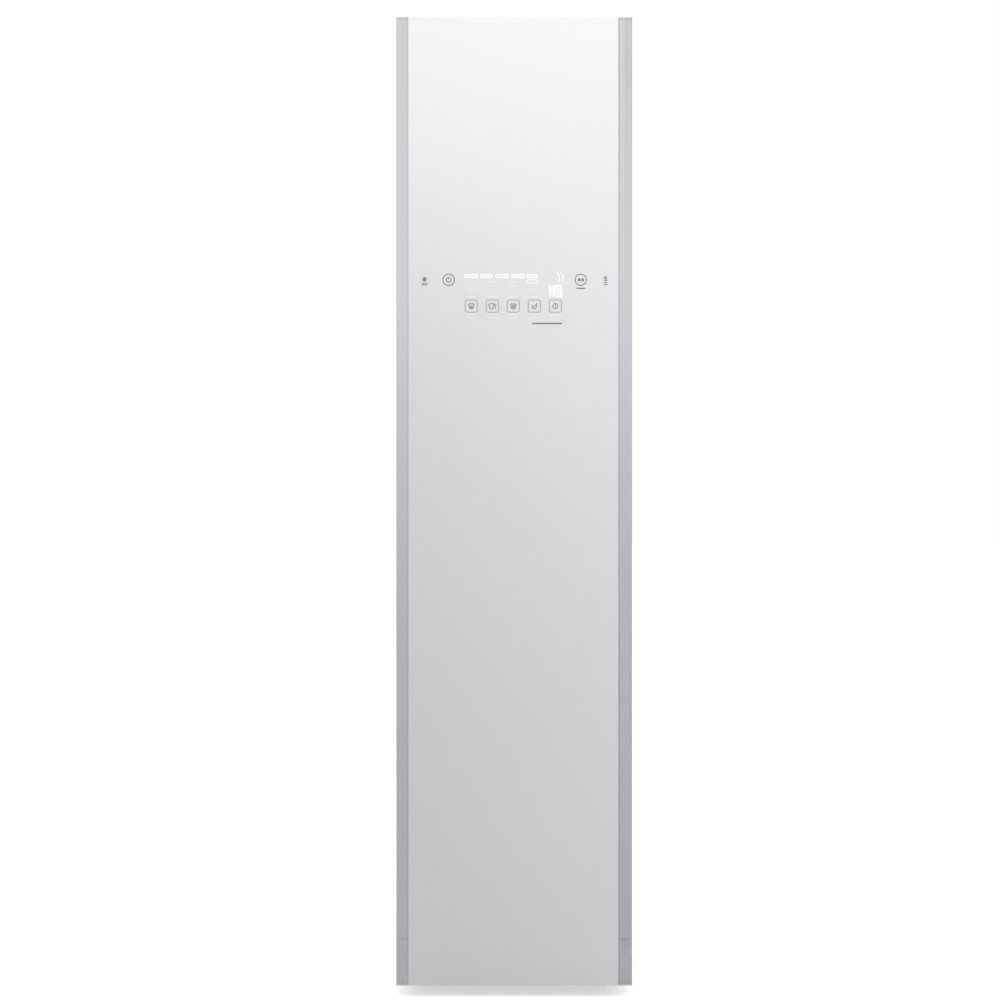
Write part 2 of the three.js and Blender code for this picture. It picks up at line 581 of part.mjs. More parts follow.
function lintFilter() {
  const frame = 8;
  const rib = 3;
  const windows = 3;
  const gripWidth = 60;
  const gripHeight = 16;
  const gripThickness = 8;
  const gripBar = 4;
  const x = span(LINT_X, LINT_WIDTH);
  const y = span(FILTER_Y, FILTER_THICKNESS);
  const z = [LINT_BOTTOM, CHAMBER_FLOOR + FIT];
  const body = box(x, y, z);
  const hollow = box([x[0] + rib, x[1] - rib], [y[0] + rib, y[1] - rib], [z[0] + rib, z[1] + OVERRUN]);
  const flangeZ = [CHAMBER_FLOOR + FIT, CHAMBER_FLOOR + FIT + FILTER_FLANGE_THICKNESS];
  const flange = box([x[0] - FILTER_FLANGE, x[1] + FILTER_FLANGE],
    [y[0] - FILTER_FLANGE, y[1] + FILTER_FLANGE], flangeZ);
  const pitch = (LINT_WIDTH - frame) / windows;
  const openings = Array.from({ length: windows }, (_, i) => box(
    [x[0] + frame + pitch * i, x[0] + pitch * (i + 1)],
    [y[0] - OVERRUN, y[1] + OVERRUN], [z[0] + frame, z[1] - frame]));
  const mouths = [-1, 1].map((side) => box(
    [LINT_X + side * (gripWidth / 2 + rib), LINT_X + side * (LINT_WIDTH / 2 - frame)],
    [y[0] + rib, y[1] - rib], [z[1] - OVERRUN, flangeZ[1] + OVERRUN]));
  const grip = box(span(LINT_X, gripWidth), span(FILTER_Y, gripThickness),
    [flangeZ[0], flangeZ[1] + gripHeight]);
  const finger = box(span(LINT_X, gripWidth - 2 * gripBar), span(FILTER_Y, 2 * gripThickness),
    [flangeZ[1], flangeZ[1] + gripHeight - gripBar]);
  const basket = cut(joined([cut(body, [hollow, ...openings]), flange]), mouths);
  add('lint_filter', joined([basket, cut(grip, [finger])]), 'greyPlastic');
}

function aromaCase() {
  const wall = 2.5;
  const slotCount = 2; // on each side of the knob
  const knobHeight = 10;
  const knobWidth = 26;
  const knobThickness = 6;
  const x = span(AROMA_X, AROMA_WIDTH);
  const y = span(FILTER_Y, FILTER_THICKNESS);
  const z = [AROMA_BOTTOM, CHAMBER_FLOOR + FIT];
  const body = box(x, y, z);
  const hollow = box([x[0] + wall, x[1] - wall], [y[0] + wall, y[1] - wall],
    [z[0] + wall, z[1] + OVERRUN]);
  const top = [CHAMBER_FLOOR + FIT, CHAMBER_FLOOR + FIT + FILTER_FLANGE_THICKNESS];
  const lid = box([x[0] - FILTER_FLANGE, x[1] + FILTER_FLANGE],
    [y[0] - FILTER_FLANGE, y[1] + FILTER_FLANGE], top);
  const slots = [[x[0] + wall, AROMA_X - knobWidth / 2], [AROMA_X + knobWidth / 2, x[1] - wall]]
    .flatMap((side) => slotSpans(side, slotCount))
    .map((s) => box(s, [y[0] + wall, y[1] - wall], [top[0] - OVERRUN, top[1] + OVERRUN]));
  const knob = box(span(AROMA_X, knobWidth), span(FILTER_Y, knobThickness),
    [top[0], top[1] + knobHeight]);
  add('aroma_case', joined([cut(joined([cut(body, [hollow]), lid]), slots), knob]), 'blueClearPlastic');
}

function shelf() {
  const rim = 16;
  const slotCount = 9;
  const x = INNER_X - SLIP;
  const y = span(HANGER_Y, SHELF_DEPTH - 2 * SLIP);
  const z = [SHELF_Z + FIT, SHELF_Z + FIT + SHELF_THICKNESS];
  const plate = box(both(x), y, z);
  const slots = slotSpans([-x + rim, x - rim], slotCount)
    .map((s) => box(s, [y[0] + rim, y[1] - rim], [z[0] - OVERRUN, z[1] + OVERRUN]));
  add('shelf', cut(plate, slots), 'greyPlastic');
}

// Fittings in the chamber

function airGrille() {
  const flange = 6;
  const thickness = 3;
  const collar = 2;
  const slotCount = 6;
  const x = span(DUCT_X, DUCT_WIDTH);
  const y = span(BLOWER_Y, BLOWER_WIDTH);
  const z = [CHAMBER_FLOOR + FIT, CHAMBER_FLOOR + FIT + thickness];
  const plate = box([x[0] - flange, x[1] + flange], [y[0] - flange, y[1] + flange], z);
  const ring = cut(
    box([x[0] + FIT, x[1] - FIT], [y[0] + FIT, y[1] - FIT], [FLOOR_UNDER, z[0]]),
    [box([x[0] + collar, x[1] - collar], [y[0] + collar, y[1] - collar],
      [FLOOR_UNDER - OVERRUN, z[0] + OVERRUN])]);
  const slots = slotSpans(x, slotCount)
    .map((s) => box(s, [y[0] + flange, y[1] - flange], [z[0] - OVERRUN, z[1] + OVERRUN]));
  add('air_grille', joined([cut(plate, slots), ring]), 'greyPlastic');
}

const nozzleBottom = CHAMBER_FLOOR - NOZZLE_DROP;

function steamNozzle() {
  const flangeRadius = 27;
  const flangeThickness = 4;
  const domeRadius = 17;
  const domeHeight = 18;
  const slotWidth = 5;
  const bottom = CHAMBER_FLOOR + FIT;
  const profile = [
    [0, nozzleBottom], [BOILER_NECK_RADIUS, nozzleBottom], [BOILER_NECK_RADIUS, bottom],
    [flangeRadius, bottom], [flangeRadius, bottom + flangeThickness / 2],
    [flangeRadius - flangeThickness / 2, bottom + flangeThickness],
    [domeRadius, bottom + flangeThickness],
    [domeRadius - flangeThickness / 2, bottom + domeHeight - flangeThickness],
    [domeRadius - 2 * flangeThickness, bottom + domeHeight], [0, bottom + domeHeight],
  ];
  const slot = box(span(BOILER_X, 2 * domeRadius + OVERRUN), span(BOILER_Y, slotWidth),
    [bottom + domeHeight / 2, bottom + domeHeight + OVERRUN]);
  add('steam_nozzle', cut(turned([BOILER_X, BOILER_Y], profile), [slot]), 'greyPlastic');
}

function lampLens() {
  const width = 130;
  const depth = 24;
  const thickness = 6;
  const setback = 28; // from the frame
  const y = FRAME_BACK_Y + setback;
  const z = [CEILING_Z - FIT - thickness, CEILING_Z - FIT];
  add('lamp_lens', box(both(width / 2), [y, y + depth], z), 'lamp');
}

// Heat pump, boiler and pumps in the machine space

// Fins stand side by side, joined by a header along the back.
function coil(name, y) {
  const finCount = 22;
  const header = 12;
  const finShare = 0.45; // of the pitch
  const pitch = COIL_WIDTH / (finCount - 1 + finShare);
  const [front, back] = span(y, COIL_DEPTH);
  const outline = [[COIL_LEFT, back]];
  for (let i = 0; i < finCount; i += 1) {
    const x = COIL_LEFT + pitch * i;
    outline.push([x, front], [x + pitch * finShare, front]);
    if (i < finCount - 1) {
      outline.push([x + pitch * finShare, back - header], [x + pitch, back - header]);
    }
  }
  outline.push([COIL_OVERHANG, back]);
  add(name, prism('z', outline, [PAN_TOP + FIT, PAN_TOP + FIT + COIL_HEIGHT]), 'aluminium');
}

function compressor() {
  const plateThickness = 4;
  const neckRadius = 42;
  const neckHeight = 16;
  const radius = 54;
  const dome = 20;
  const bottom = PAN_TOP + FIT;
  const profile = [
    [0, bottom], [COMPRESSOR_PLATE_RADIUS, bottom],
    [COMPRESSOR_PLATE_RADIUS, bottom + plateThickness],
    [neckRadius, bottom + plateThickness], [neckRadius, bottom + neckHeight],
    [radius, bottom + neckHeight + plateThickness], [radius, COMPRESSOR_TOP - dome],
    [radius - dome / 4, COMPRESSOR_TOP - dome / 2], [radius - dome, COMPRESSOR_TOP],
    [0, COMPRESSOR_TOP],
  ];
  add('compressor', turned([COMPRESSOR_X, COMPRESSOR_Y], profile, 28), 'blackPaint');
}

function boiler() {
  const footRadius = 30;
  const footHeight = 22;
  const shoulder = 14;
  const bottom = PAN_TOP + FIT;
  const profile = [
    [0, bottom], [footRadius, bottom], [footRadius, bottom + footHeight],
    [BOILER_RADIUS, bottom + footHeight + shoulder], [BOILER_RADIUS, BOILER_TOP - shoulder],
    [BOILER_RADIUS - shoulder, BOILER_TOP], [BOILER_NECK_RADIUS, BOILER_TOP],
    [BOILER_NECK_RADIUS, nozzleBottom - FIT], [0, nozzleBottom - FIT],
  ];
  add('steam_boiler', turned([BOILER_X, BOILER_Y], profile, 28), 'steel');
}

function pump(name, x) {
  const bodyRadius = 20;
  const plinth = 14;
  const rise = 30; // centre of the body above the pan
  const portRadius = 5;
  const portRise = 60;
  const y = [PUMP_FRONT_Y, PUMP_BACK_Y];
  const bottom = PAN_TOP + FIT;
  const foot = box(span(x, PUMP_WIDTH), y, [bottom, bottom + plinth]);
  const body = bar('y', [x, bottom + rise], bodyRadius, y);
  const port = bar('z', [x, (y[0] + y[1]) / 2], portRadius, [bottom + rise, bottom + portRise], 12);
  add(name, joined([foot, body, port]), 'darkPlastic');
}

function refrigerantPipe() {
  const radius = 4;
  const sides = 8;
  const steps = 30;
  const lane = 24; // pipe's run beside the coils
  const bend = 16; // how far a bend reaches
  const drift = 8;
  const crest = 36; // top of the pipe over the compressor
  const runX = COIL_OVERHANG + lane;
  const top = COMPRESSOR_TOP + crest;
  const endZ = COMPRESSOR_TOP - lane;
  const path = new THREE.CatmullRomCurve3([
    [COMPRESSOR_X, COMPRESSOR_Y, COMPRESSOR_TOP + FIT], [COMPRESSOR_X, COMPRESSOR_Y, top - bend + radius],
    [COMPRESSOR_X - bend, COMPRESSOR_Y - bend, top],
    [runX + drift, (COMPRESSOR_Y + CONDENSER_Y) / 2, top],
    [runX, CONDENSER_Y + lane, endZ + bend], [runX - drift, CONDENSER_Y, endZ],
    [COIL_OVERHANG + FIT, CONDENSER_Y, endZ],
  ].map((p) => new THREE.Vector3(...p)));
  const round = arc([0, 0], radius, 0, FULL_TURN * (1 - 1 / sides), sides - 1);
  const section = new THREE.Shape(round.map(([a, b]) => new THREE.Vector2(a, b)));
  add('refrigerant_pipe', solid(new THREE.ExtrudeGeometry(section, {
    steps, extrudePath: path, bevelEnabled: false,
  })), 'copper');
}

function controlBox() {
  const depth = 60;
  const gap = 12; // from the rear panel
  const sideGap = 30.5; // from the left liner
  const inset = 20; // from the cabinet's middle
  const motorGap = 6; // under the blower's motor
  const lidGroove = 2;
  const lidHeight = 24;
  const z = [PAN_TOP + FIT, BLOWER_Z - BLOWER_MOTOR_RADIUS - motorGap];
  const y = [PANEL_BACK_Y - gap - depth, PANEL_BACK_Y - gap];
  const x = [sideGap - INNER_X, -inset];
  const body = box(x, y, z);
  const around = box([x[0] - OVERRUN, x[1] + OVERRUN], [y[0] - OVERRUN, y[1] + OVERRUN],
    span(z[1] - lidHeight, lidGroove));
  const core = box([x[0] + lidGroove, x[1] - lidGroove], [y[0] + lidGroove, y[1] - lidGroove], z);
  add('control_box', cut(body, [cut(around, [core])]), 'darkPlastic');
}

function leadGland() {
  const flangeRadius = 18;
  const flange = 3;
  const boreRadius = 5;
  const inside = 22;
  const axis = [GLAND_X, GLAND_Z];
  const plateOut = PANEL_BACK_Y + SHEET + FIT;
  const head = bar('y', axis, flangeRadius, [plateOut, Math.min(plateOut + flange, REAR_Y)]);
  const neck = bar('y', axis, GLAND_RADIUS - SHEET - FIT, [PANEL_BACK_Y - inside, plateOut]);
  const bore = bar('y', axis, boreRadius, [PANEL_BACK_Y - inside - OVERRUN, REAR_Y + OVERRUN], 16);
  add('lead_gland', cut(joined([head, neck]), [bore]), 'blackPlastic');
}

// Blower that drives the drying air round the chamber

function blowerHousing() {
  const inletInset = 40; // edge of the inlet inside the housing's rim
  const footWidth = 70;
  const sides = 30;
  const axis = [BLOWER_X, BLOWER_Z];
  const y = [BLOWER_FRONT_Y, BLOWER_BACK_Y];
  const top = FLOOR_UNDER - FIT;
  const scroll = (inset, height) => {
    const depth = [y[0] + inset, y[1] - inset];
    const duct = box(span(DUCT_X, DUCT_WIDTH - 2 * inset), depth, [BLOWER_Z, height]);
    return joined([bar('y', axis, BLOWER_RADIUS - inset, depth, sides), duct]);
  };
  const foot = box(span(BLOWER_X, footWidth), y,
    [PAN_TOP + FIT, BLOWER_Z - BLOWER_RADIUS + 2 * BLOWER_WALL]);
  const inlet = bar('y', axis, BLOWER_RADIUS - inletInset, [y[0] - OVERRUN, y[0] + 2 * BLOWER_WALL], 24);
  const shaft = bar('y', axis, IMPELLER_SHAFT_RADIUS + FIT, [y[1] - 2 * BLOWER_WALL, y[1] + OVERRUN]);
  add('blower_housing', cut(joined([scroll(0, top), foot]),
    [scroll(BLOWER_WALL, top + OVERRUN), inlet, shaft]), 'darkPlastic');
}

function impeller() {
  const disc = 3;
  const bladeCount = 16;
  const bladeThickness = 2;
  const bladeLength = 22;
  const bladeTurn = 0.5; // radians from the spoke through its middle
  const shaftReach = 12; // into the motor
  const runGap = 6; // to the housing's walls
  const axis = [BLOWER_X, BLOWER_Z];
  const y = [BLOWER_FRONT_Y + BLOWER_WALL + runGap, BLOWER_BACK_Y - BLOWER_WALL - runGap];
  const back = bar('y', axis, IMPELLER_RADIUS, [y[1] - disc, y[1]], 32);
  const ring = bar('y', axis, IMPELLER_RADIUS, [y[0], y[0] + disc], 32)
    .subtract(bar('y', axis, IMPELLER_RADIUS - bladeLength, [y[0] - OVERRUN, y[0] + disc + OVERRUN], 32));
  const shaft = bar('y', axis, IMPELLER_SHAFT_RADIUS, [y[1] - disc, BLOWER_BACK_Y + shaftReach]);
  const middle = IMPELLER_RADIUS - bladeLength / 2 - disc;
  const blades = Array.from({ length: bladeCount }, (_, i) => {
    const angle = 2 * Math.PI * i / bladeCount;
    const geometry = new THREE.BoxGeometry(bladeLength, y[1] - y[0] - disc, bladeThickness);
    geometry.rotateY(-angle - bladeTurn);
    geometry.translate(
      BLOWER_X + middle * Math.cos(angle), (y[0] + y[1]) / 2, BLOWER_Z + middle * Math.sin(angle));
    return solid(geometry);
  });
  add('blower_impeller', joined([back, ring, shaft, ...blades]), 'blackPlastic');
}

function blowerMotor() {
  const length = 62;
  const capRadius = 22;
  const capLength = 8;
  const boreDepth = 14;
  const axis = [BLOWER_X, BLOWER_Z];
  const front = BLOWER_BACK_Y + FIT;
  const body = bar('y', axis, BLOWER_MOTOR_RADIUS, [front, front + length], 28);
  const cap = bar('y', axis, capRadius, [front + length - capLength, front + length + capLength]);
  const bore = bar('y', axis, IMPELLER_SHAFT_RADIUS + FIT, [front - OVERRUN, front + boreDepth]);
  add('blower_motor', cut(joined([body, cap]), [bore]), 'galvanised');
}

// Hanger bar, its carriage and the crank drive above the ceiling

function hangerBar() {
  const width = 22;
  const height = 16;
  const notchCount = 3;
  const notchRadius = 5;
  const sealThickness = 2;
  const sealReach = 6; // seal plate past the ceiling's slot
  const z = span(HANGER_BAR_Z, height);
  const beam = box(both(INNER_X - HANGER_BAR_GAP), span(HANGER_Y, width), z);
  const pitch = POST_DISTANCE / (notchCount + 1);
  const notches = Array.from({ length: notchCount }, (_, i) => bar('y',
    [pitch * (i + 1) - POST_DISTANCE / 2, z[1]], notchRadius, span(HANGER_Y, width + 2 * OVERRUN), 16));
  const posts = [-1, 1].map((side) => bar('z', [side * POST_DISTANCE / 2, HANGER_Y], POST_RADIUS,
    [HANGER_BAR_Z, CARRIAGE_TOP], 16));
  const sealZ = [CEILING_TOP + FIT, CEILING_TOP + FIT + sealThickness];
  const seals = [-1, 1].map((side) => box(
    span(side * POST_DISTANCE / 2, 2 * (slotHalf + HANGER_STROKE)),
    span(HANGER_Y, 2 * (POST_RADIUS + 2 * SLIP + sealReach)), sealZ));
  add('hanger_bar', joined([cut(beam, notches), ...posts, ...seals]), 'steel');
}

function hangerCarriage() {
  const thickness = 6;
  const length = 230;
  const width = 124;
  const sleeveLength = 140;
  const sleeveWidth = 22;
  const sleeveTop = 11; // above the rod centres
  const yokeGap = 11; // slot for the crank pin
  const yokeWall = 6;
  const yokeLength = 54;
  const yokeTop = BRIDGE_Z - YOKE_DROP;
  const plate = box(both(length / 2), span(HANGER_Y, width), [CARRIAGE_TOP - thickness, CARRIAGE_TOP]);
  const rods = [-1, 1].map((side) => HANGER_Y + side * ROD_DISTANCE / 2);
  const sleeves = rods.map((y) => box(both(sleeveLength / 2), span(y, sleeveWidth),
    [CARRIAGE_TOP - thickness, ROD_Z + sleeveTop]));
  const yoke = box(both(yokeGap / 2 + yokeWall), span(HANGER_Y, yokeLength),
    [CARRIAGE_TOP - thickness, yokeTop]);
  const slot = box(both(yokeGap / 2), span(HANGER_Y, yokeLength - 2 * yokeWall),
    [CARRIAGE_TOP, yokeTop + OVERRUN]);
  const bores = rods.map((y) => bar('x', [y, ROD_Z], ROD_RADIUS + FIT, both(sleeveLength), 16));
  const sockets = [-1, 1].map((side) => bar('z', [side * POST_DISTANCE / 2, HANGER_Y], POST_RADIUS + FIT,
    [CARRIAGE_TOP - 2 * thickness, CARRIAGE_TOP + OVERRUN], 16));
  const body = joined([plate, ...sleeves, yoke]);
  add('hanger_carriage', cut(body, [slot, ...bores, ...sockets]), 'galvanised');
}

function driveBracket() {
  const plate = 6;
  const width = 132;
  const motorReach = 34; // bridge past the motor's axis
  const bridgeWidth = 80; // of the part that carries the motor
  const endX = ROD_SPAN / 2 + plate;
  const ends = [-1, 1].map((side) => box([side * ROD_SPAN / 2, side * endX], span(HANGER_Y, width),
    [CEILING_TOP + FIT, BRIDGE_Z + BRIDGE_THICKNESS]));
  const rods = [-1, 1].map((side) => bar('x', [HANGER_Y + side * ROD_DISTANCE / 2, ROD_Z], ROD_RADIUS,
    both(endX - plate / 2), 16));
  const z = [BRIDGE_Z, BRIDGE_Z + BRIDGE_THICKNESS];
  const bridge = box(both(endX), span(HANGER_Y, width), z);
  const tongue = box(both(bridgeWidth / 2), [HANGER_Y, MOTOR_Y + motorReach], z);
  const through = [BRIDGE_Z - OVERRUN, BRIDGE_Z + BRIDGE_THICKNESS + OVERRUN];
  const holes = [
    bar('z', [0, HANGER_Y], CRANK_AXLE_RADIUS + FIT, through),
    bar('z', [0, MOTOR_Y], DRIVE_SHAFT_RADIUS + FIT, through, 16),
  ];
  add('drive_bracket', cut(joined([...ends, ...rods, bridge, tongue]), holes), 'galvanised');
}

function crankWheel() {
  const discRadius = 24;
  const discThickness = 6;
  const discDrop = 14; // disc under the bridge
  const pinRadius = 4;
  const pinLength = 7; // it ends just above the yoke
  const axis = [0, HANGER_Y];
  const discZ = [BRIDGE_Z - discDrop - discThickness, BRIDGE_Z - discDrop];
  const disc = bar('z', axis, discRadius, discZ, 28);
  const pin = bar('z', [0, HANGER_Y - HANGER_STROKE], pinRadius, [discZ[0] - pinLength, discZ[1]], 12);
  const axle = bar('z', axis, CRANK_AXLE_RADIUS, [discZ[1], PULLEY_Z + PULLEY_HEIGHT]);
  const pulley = bar('z', axis, CRANK_PULLEY_RADIUS, [PULLEY_Z, PULLEY_Z + PULLEY_HEIGHT], 36);
  add('crank_wheel', joined([disc, pin, axle, pulley]), 'steel');
}

function driveMotor() {
  const radius = 28;
  const length = 60;
  const boreDepth = 14;
  const top = BRIDGE_Z - FIT;
  const body = bar('z', [0, MOTOR_Y], radius, [top - length, top], 24);
  const bore = bar('z', [0, MOTOR_Y], DRIVE_SHAFT_RADIUS + FIT, [top - boreDepth, top + OVERRUN], 16);
  add('drive_motor', cut(body, [bore]), 'galvanised');
}

function motorPulley() {
  const shaftReach = 16; // under the top of the bridge
  const pulley = bar('z', [0, MOTOR_Y], MOTOR_PULLEY_RADIUS, [PULLEY_Z, PULLEY_Z + PULLEY_HEIGHT]);
  const shaft = bar('z', [0, MOTOR_Y], DRIVE_SHAFT_RADIUS,
    [BRIDGE_Z + BRIDGE_THICKNESS - shaftReach, PULLEY_Z + PULLEY_HEIGHT], 16);
  add('motor_pulley', joined([pulley, shaft]), 'steel');
}

function driveBelt() {
  const thickness = 1.6;
  const inset = 1; // narrower than the pulleys on each side
  const lean = THREE.MathUtils.radToDeg(
    Math.asin((CRANK_PULLEY_RADIUS - MOTOR_PULLEY_RADIUS) / PULLEY_DISTANCE));
  const loop = (grow) => [
    ...arc([0, MOTOR_Y], MOTOR_PULLEY_RADIUS + FIT + grow, lean, HALF_TURN - lean, 12),
    ...arc([0, HANGER_Y], CRANK_PULLEY_RADIUS + FIT + grow, HALF_TURN - lean, FULL_TURN + lean, 24),
  ];
  const z = [PULLEY_Z + inset, PULLEY_Z + PULLEY_HEIGHT - inset];
  add('drive_belt', prism('z', loop(thickness), z, [loop(0)]), 'blackRubber');
}

// Hinge brackets on the cabinet: a leaf on the front frame, an arm into the door and a pin

function hingeBracket(name, end) {
  const armWidth = 16;
  const leafWidth = 35;
  const leafHeight = 54;
  const pinLength = 9;
  const sink = 1; // pin fused this far into the arm
  const leafBackY = CABINET_FRONT_Y - FIT;
  const leafFrontY = leafBackY - HINGE_LEAF;
  // The arm's face that looks at the boss in the door's cap
  const face = end > 0 ? HEIGHT - HINGE_BOSS - FIT : DOOR_LIFT + HINGE_BOSS + FIT;
  const armZ = [face - end * HINGE_PLATE, face].sort((a, b) => a - b);
  const outline = [
    ...arc([HINGE_X, HINGE_Y], armWidth / 2, HALF_TURN, FULL_TURN, 12),
    [HINGE_X + armWidth / 2, leafFrontY + HINGE_LEAF / 2],
    [HINGE_X - armWidth / 2, leafFrontY + HINGE_LEAF / 2],
  ];
  const arm = prism('z', outline, armZ);
  const leaf = box(span(HINGE_X + armWidth / 2 - leafWidth / 2, leafWidth), [leafFrontY, leafBackY],
    [face - end * leafHeight, face]);
  const pinZ = [face - end * sink, face + end * pinLength].sort((a, b) => a - b);
  const pin = bar('z', [HINGE_X, HINGE_Y], HINGE_PIN_RADIUS, pinZ);
  add(name, joined([arm, leaf, pin]), 'steel');
}

// Door: glass, side trims and caps round an insulated core

function doorGlass() {
  add('door_glass', box([GLASS_LEFT + FIT, GLASS_RIGHT - FIT], [GLASS_FRONT_Y, GLASS_BACK_Y],
    [DOOR_LIFT, HEIGHT]), 'silverGlass');
}

const trimJointZ = DOOR_LIFT + TRIM_END_HEIGHT;
const trimBackY = LINER_FRONT_Y - FIT;

// Heights of the long trim and of its lower end, which meet at a fine seam.
const trimSpans = {
  main: [trimJointZ + FIT / 2, HEIGHT - CAP_THICKNESS - FIT],
  end: [DOOR_LIFT + CAP_THICKNESS + FIT, trimJointZ - FIT / 2],
};

// The grip side has a channel in its outer face for the fingers, all the way up.
function leftTrim(name, z) {
  const round = 2.5;
  const channelDepth = 15;
  const channelWidth = 20;
  const lip = 6; // behind the channel
  const inner = GLASS_LEFT;
  const channelY = [trimBackY - lip - channelWidth, trimBackY - lip];
  const outline = [
    ...arc([-HALF + round, FRONT_Y + round], round, HALF_TURN, HALF_TURN + QUARTER_TURN, 4),
    [inner, FRONT_Y], [inner, FRONT_Y + TRIM_WALL], [-HALF + TRIM_WALL, FRONT_Y + TRIM_WALL],
    [-HALF + TRIM_WALL, channelY[0] - TRIM_WALL],
    [-HALF + channelDepth + TRIM_WALL, channelY[0] - TRIM_WALL],
    [-HALF + channelDepth + TRIM_WALL, trimBackY],
    [-HALF, trimBackY], [-HALF, channelY[1]], [-HALF + channelDepth, channelY[1]],
    [-HALF + channelDepth, channelY[0]], [-HALF, channelY[0]],
  ];
  add(name, prism('z', outline, z), 'satinTrim');
}

// The hinge side has a fine groove beside the glass and is cut away round the bracket's arm.
function rightTrim(name, z) {
  const round = 2.5;
  const grooveWidth = 2;
  const grooveDepth = 1.5;
  const flange = 12;
  const inner = GLASS_RIGHT;
  const outline = [
    [inner, FRONT_Y + grooveDepth], [inner + grooveWidth, FRONT_Y + grooveDepth],
    [inner + grooveWidth, FRONT_Y],
    ...arc([HALF - round, FRONT_Y + round], round, HALF_TURN + QUARTER_TURN, FULL_TURN, 4),
    [HALF, trimBackY], [HALF - flange, trimBackY], [HALF - flange, trimBackY - TRIM_WALL],
    [HALF - TRIM_WALL, trimBackY - TRIM_WALL], [HALF - TRIM_WALL, FRONT_Y + TRIM_WALL + grooveDepth],
    [inner, FRONT_Y + TRIM_WALL + grooveDepth],
  ];
  add(name, cut(prism('z', outline, z), hingeNotches()), 'satinTrim');
}

// Room at both ends of the door for the caps' bosses and the brackets' arms, open to the back and side.
function hingeNotches() {
  const x = [GLASS_RIGHT - OVERRUN, HALF + OVERRUN];
  const y = [FRONT_Y + HINGE_FRONT_WALL, CABINET_FRONT_Y];
  return [
    box(x, y, [HEIGHT - NOTCH, HEIGHT + OVERRUN]),
    box(x, y, [DOOR_LIFT - OVERRUN, DOOR_LIFT + NOTCH]),
  ];
}

// Plate over the end of the door, with a boss in the hinge corner that turns on the bracket's pin.
function doorCap(name, end) {
  const boreDepth = 10;
  const bossInset = 0.6; // behind the trim's corner
  const edge = end > 0 ? HEIGHT : DOOR_LIFT;
  const bossEdge = edge - end * HINGE_BOSS;
  const order = (a, b) => (a < b ? [a, b] : [b, a]);
  const outline = [
    [-HALF, FRONT_Y], [GLASS_LEFT, FRONT_Y],
    [GLASS_LEFT, GLASS_BACK_Y + FIT], [GLASS_RIGHT, GLASS_BACK_Y + FIT],
    [GLASS_RIGHT, FRONT_Y], [HALF, FRONT_Y], [HALF, DOOR_BACK_Y], [-HALF, DOOR_BACK_Y],
  ];
  const plate = prism('z', outline, order(edge - end * CAP_THICKNESS, edge));
  const boss = box([GLASS_RIGHT + FIT, HALF - bossInset], [FRONT_Y + HINGE_FRONT_WALL + FIT, DOOR_BACK_Y],
    order(bossEdge, edge));
  const bore = bar('z', [HINGE_X, HINGE_Y], HINGE_PIN_RADIUS + FIT,
    order(bossEdge - end * OVERRUN, bossEdge + end * boreDepth));
  add(name, cut(joined([plate, boss]), [bore]), 'greyPlastic');
}

const coreZ = [DOOR_LIFT + CAP_THICKNESS + FIT, HEIGHT - CAP_THICKNESS - FIT];
const boardBottom = KEY_Z - BOARD_BELOW_KEYS;
const boardTop = boardBottom + BOARD_HEIGHT;
const boardX = both(GLASS_RIGHT - BOARD_SIDE_GAP);

function doorCore() {
  const core = box([GLASS_LEFT + FIT, GLASS_RIGHT - FIT], [GLASS_BACK_Y + FIT, trimBackY], coreZ);
  const pocket = box([boardX[0] - FIT, boardX[1] + FIT],
    [GLASS_BACK_Y - OVERRUN, GLASS_BACK_Y + 2 * FIT + BOARD_THICKNESS],
    [boardBottom - FIT, boardTop + FIT]);
  add('door_core', cut(core, [pocket]), 'foam');
}

function touchBoard() {
  const board = 1.6;
  const displayWidth = 30; // numbers behind the glass, over the last key
  const displayHeight = 62;
  const displayDrop = 10; // under the board's upper edge
  const displayShift = 7.6; // to the right of the last key
  const padRadius = 6; // touch pads between board and glass
  const front = GLASS_BACK_Y + FIT;
  const back = front + BOARD_THICKNESS;
  const plate = box(boardX, [back - board, back], [boardBottom, boardTop]);
  const displayX = KEY_FIRST_X + (KEY_COUNT - 1) * KEY_PITCH + displayShift;
  const display = box(span(displayX, displayWidth), [front, back],
    [boardTop - displayDrop - displayHeight, boardTop - displayDrop]);
  const pads = Array.from({ length: KEY_COUNT }, (_, i) =>
    bar('y', [KEY_FIRST_X + i * KEY_PITCH, KEY_Z], padRadius, [front, back], 12));
  add('touch_board', joined([plate, display, ...pads]), 'circuit');
}

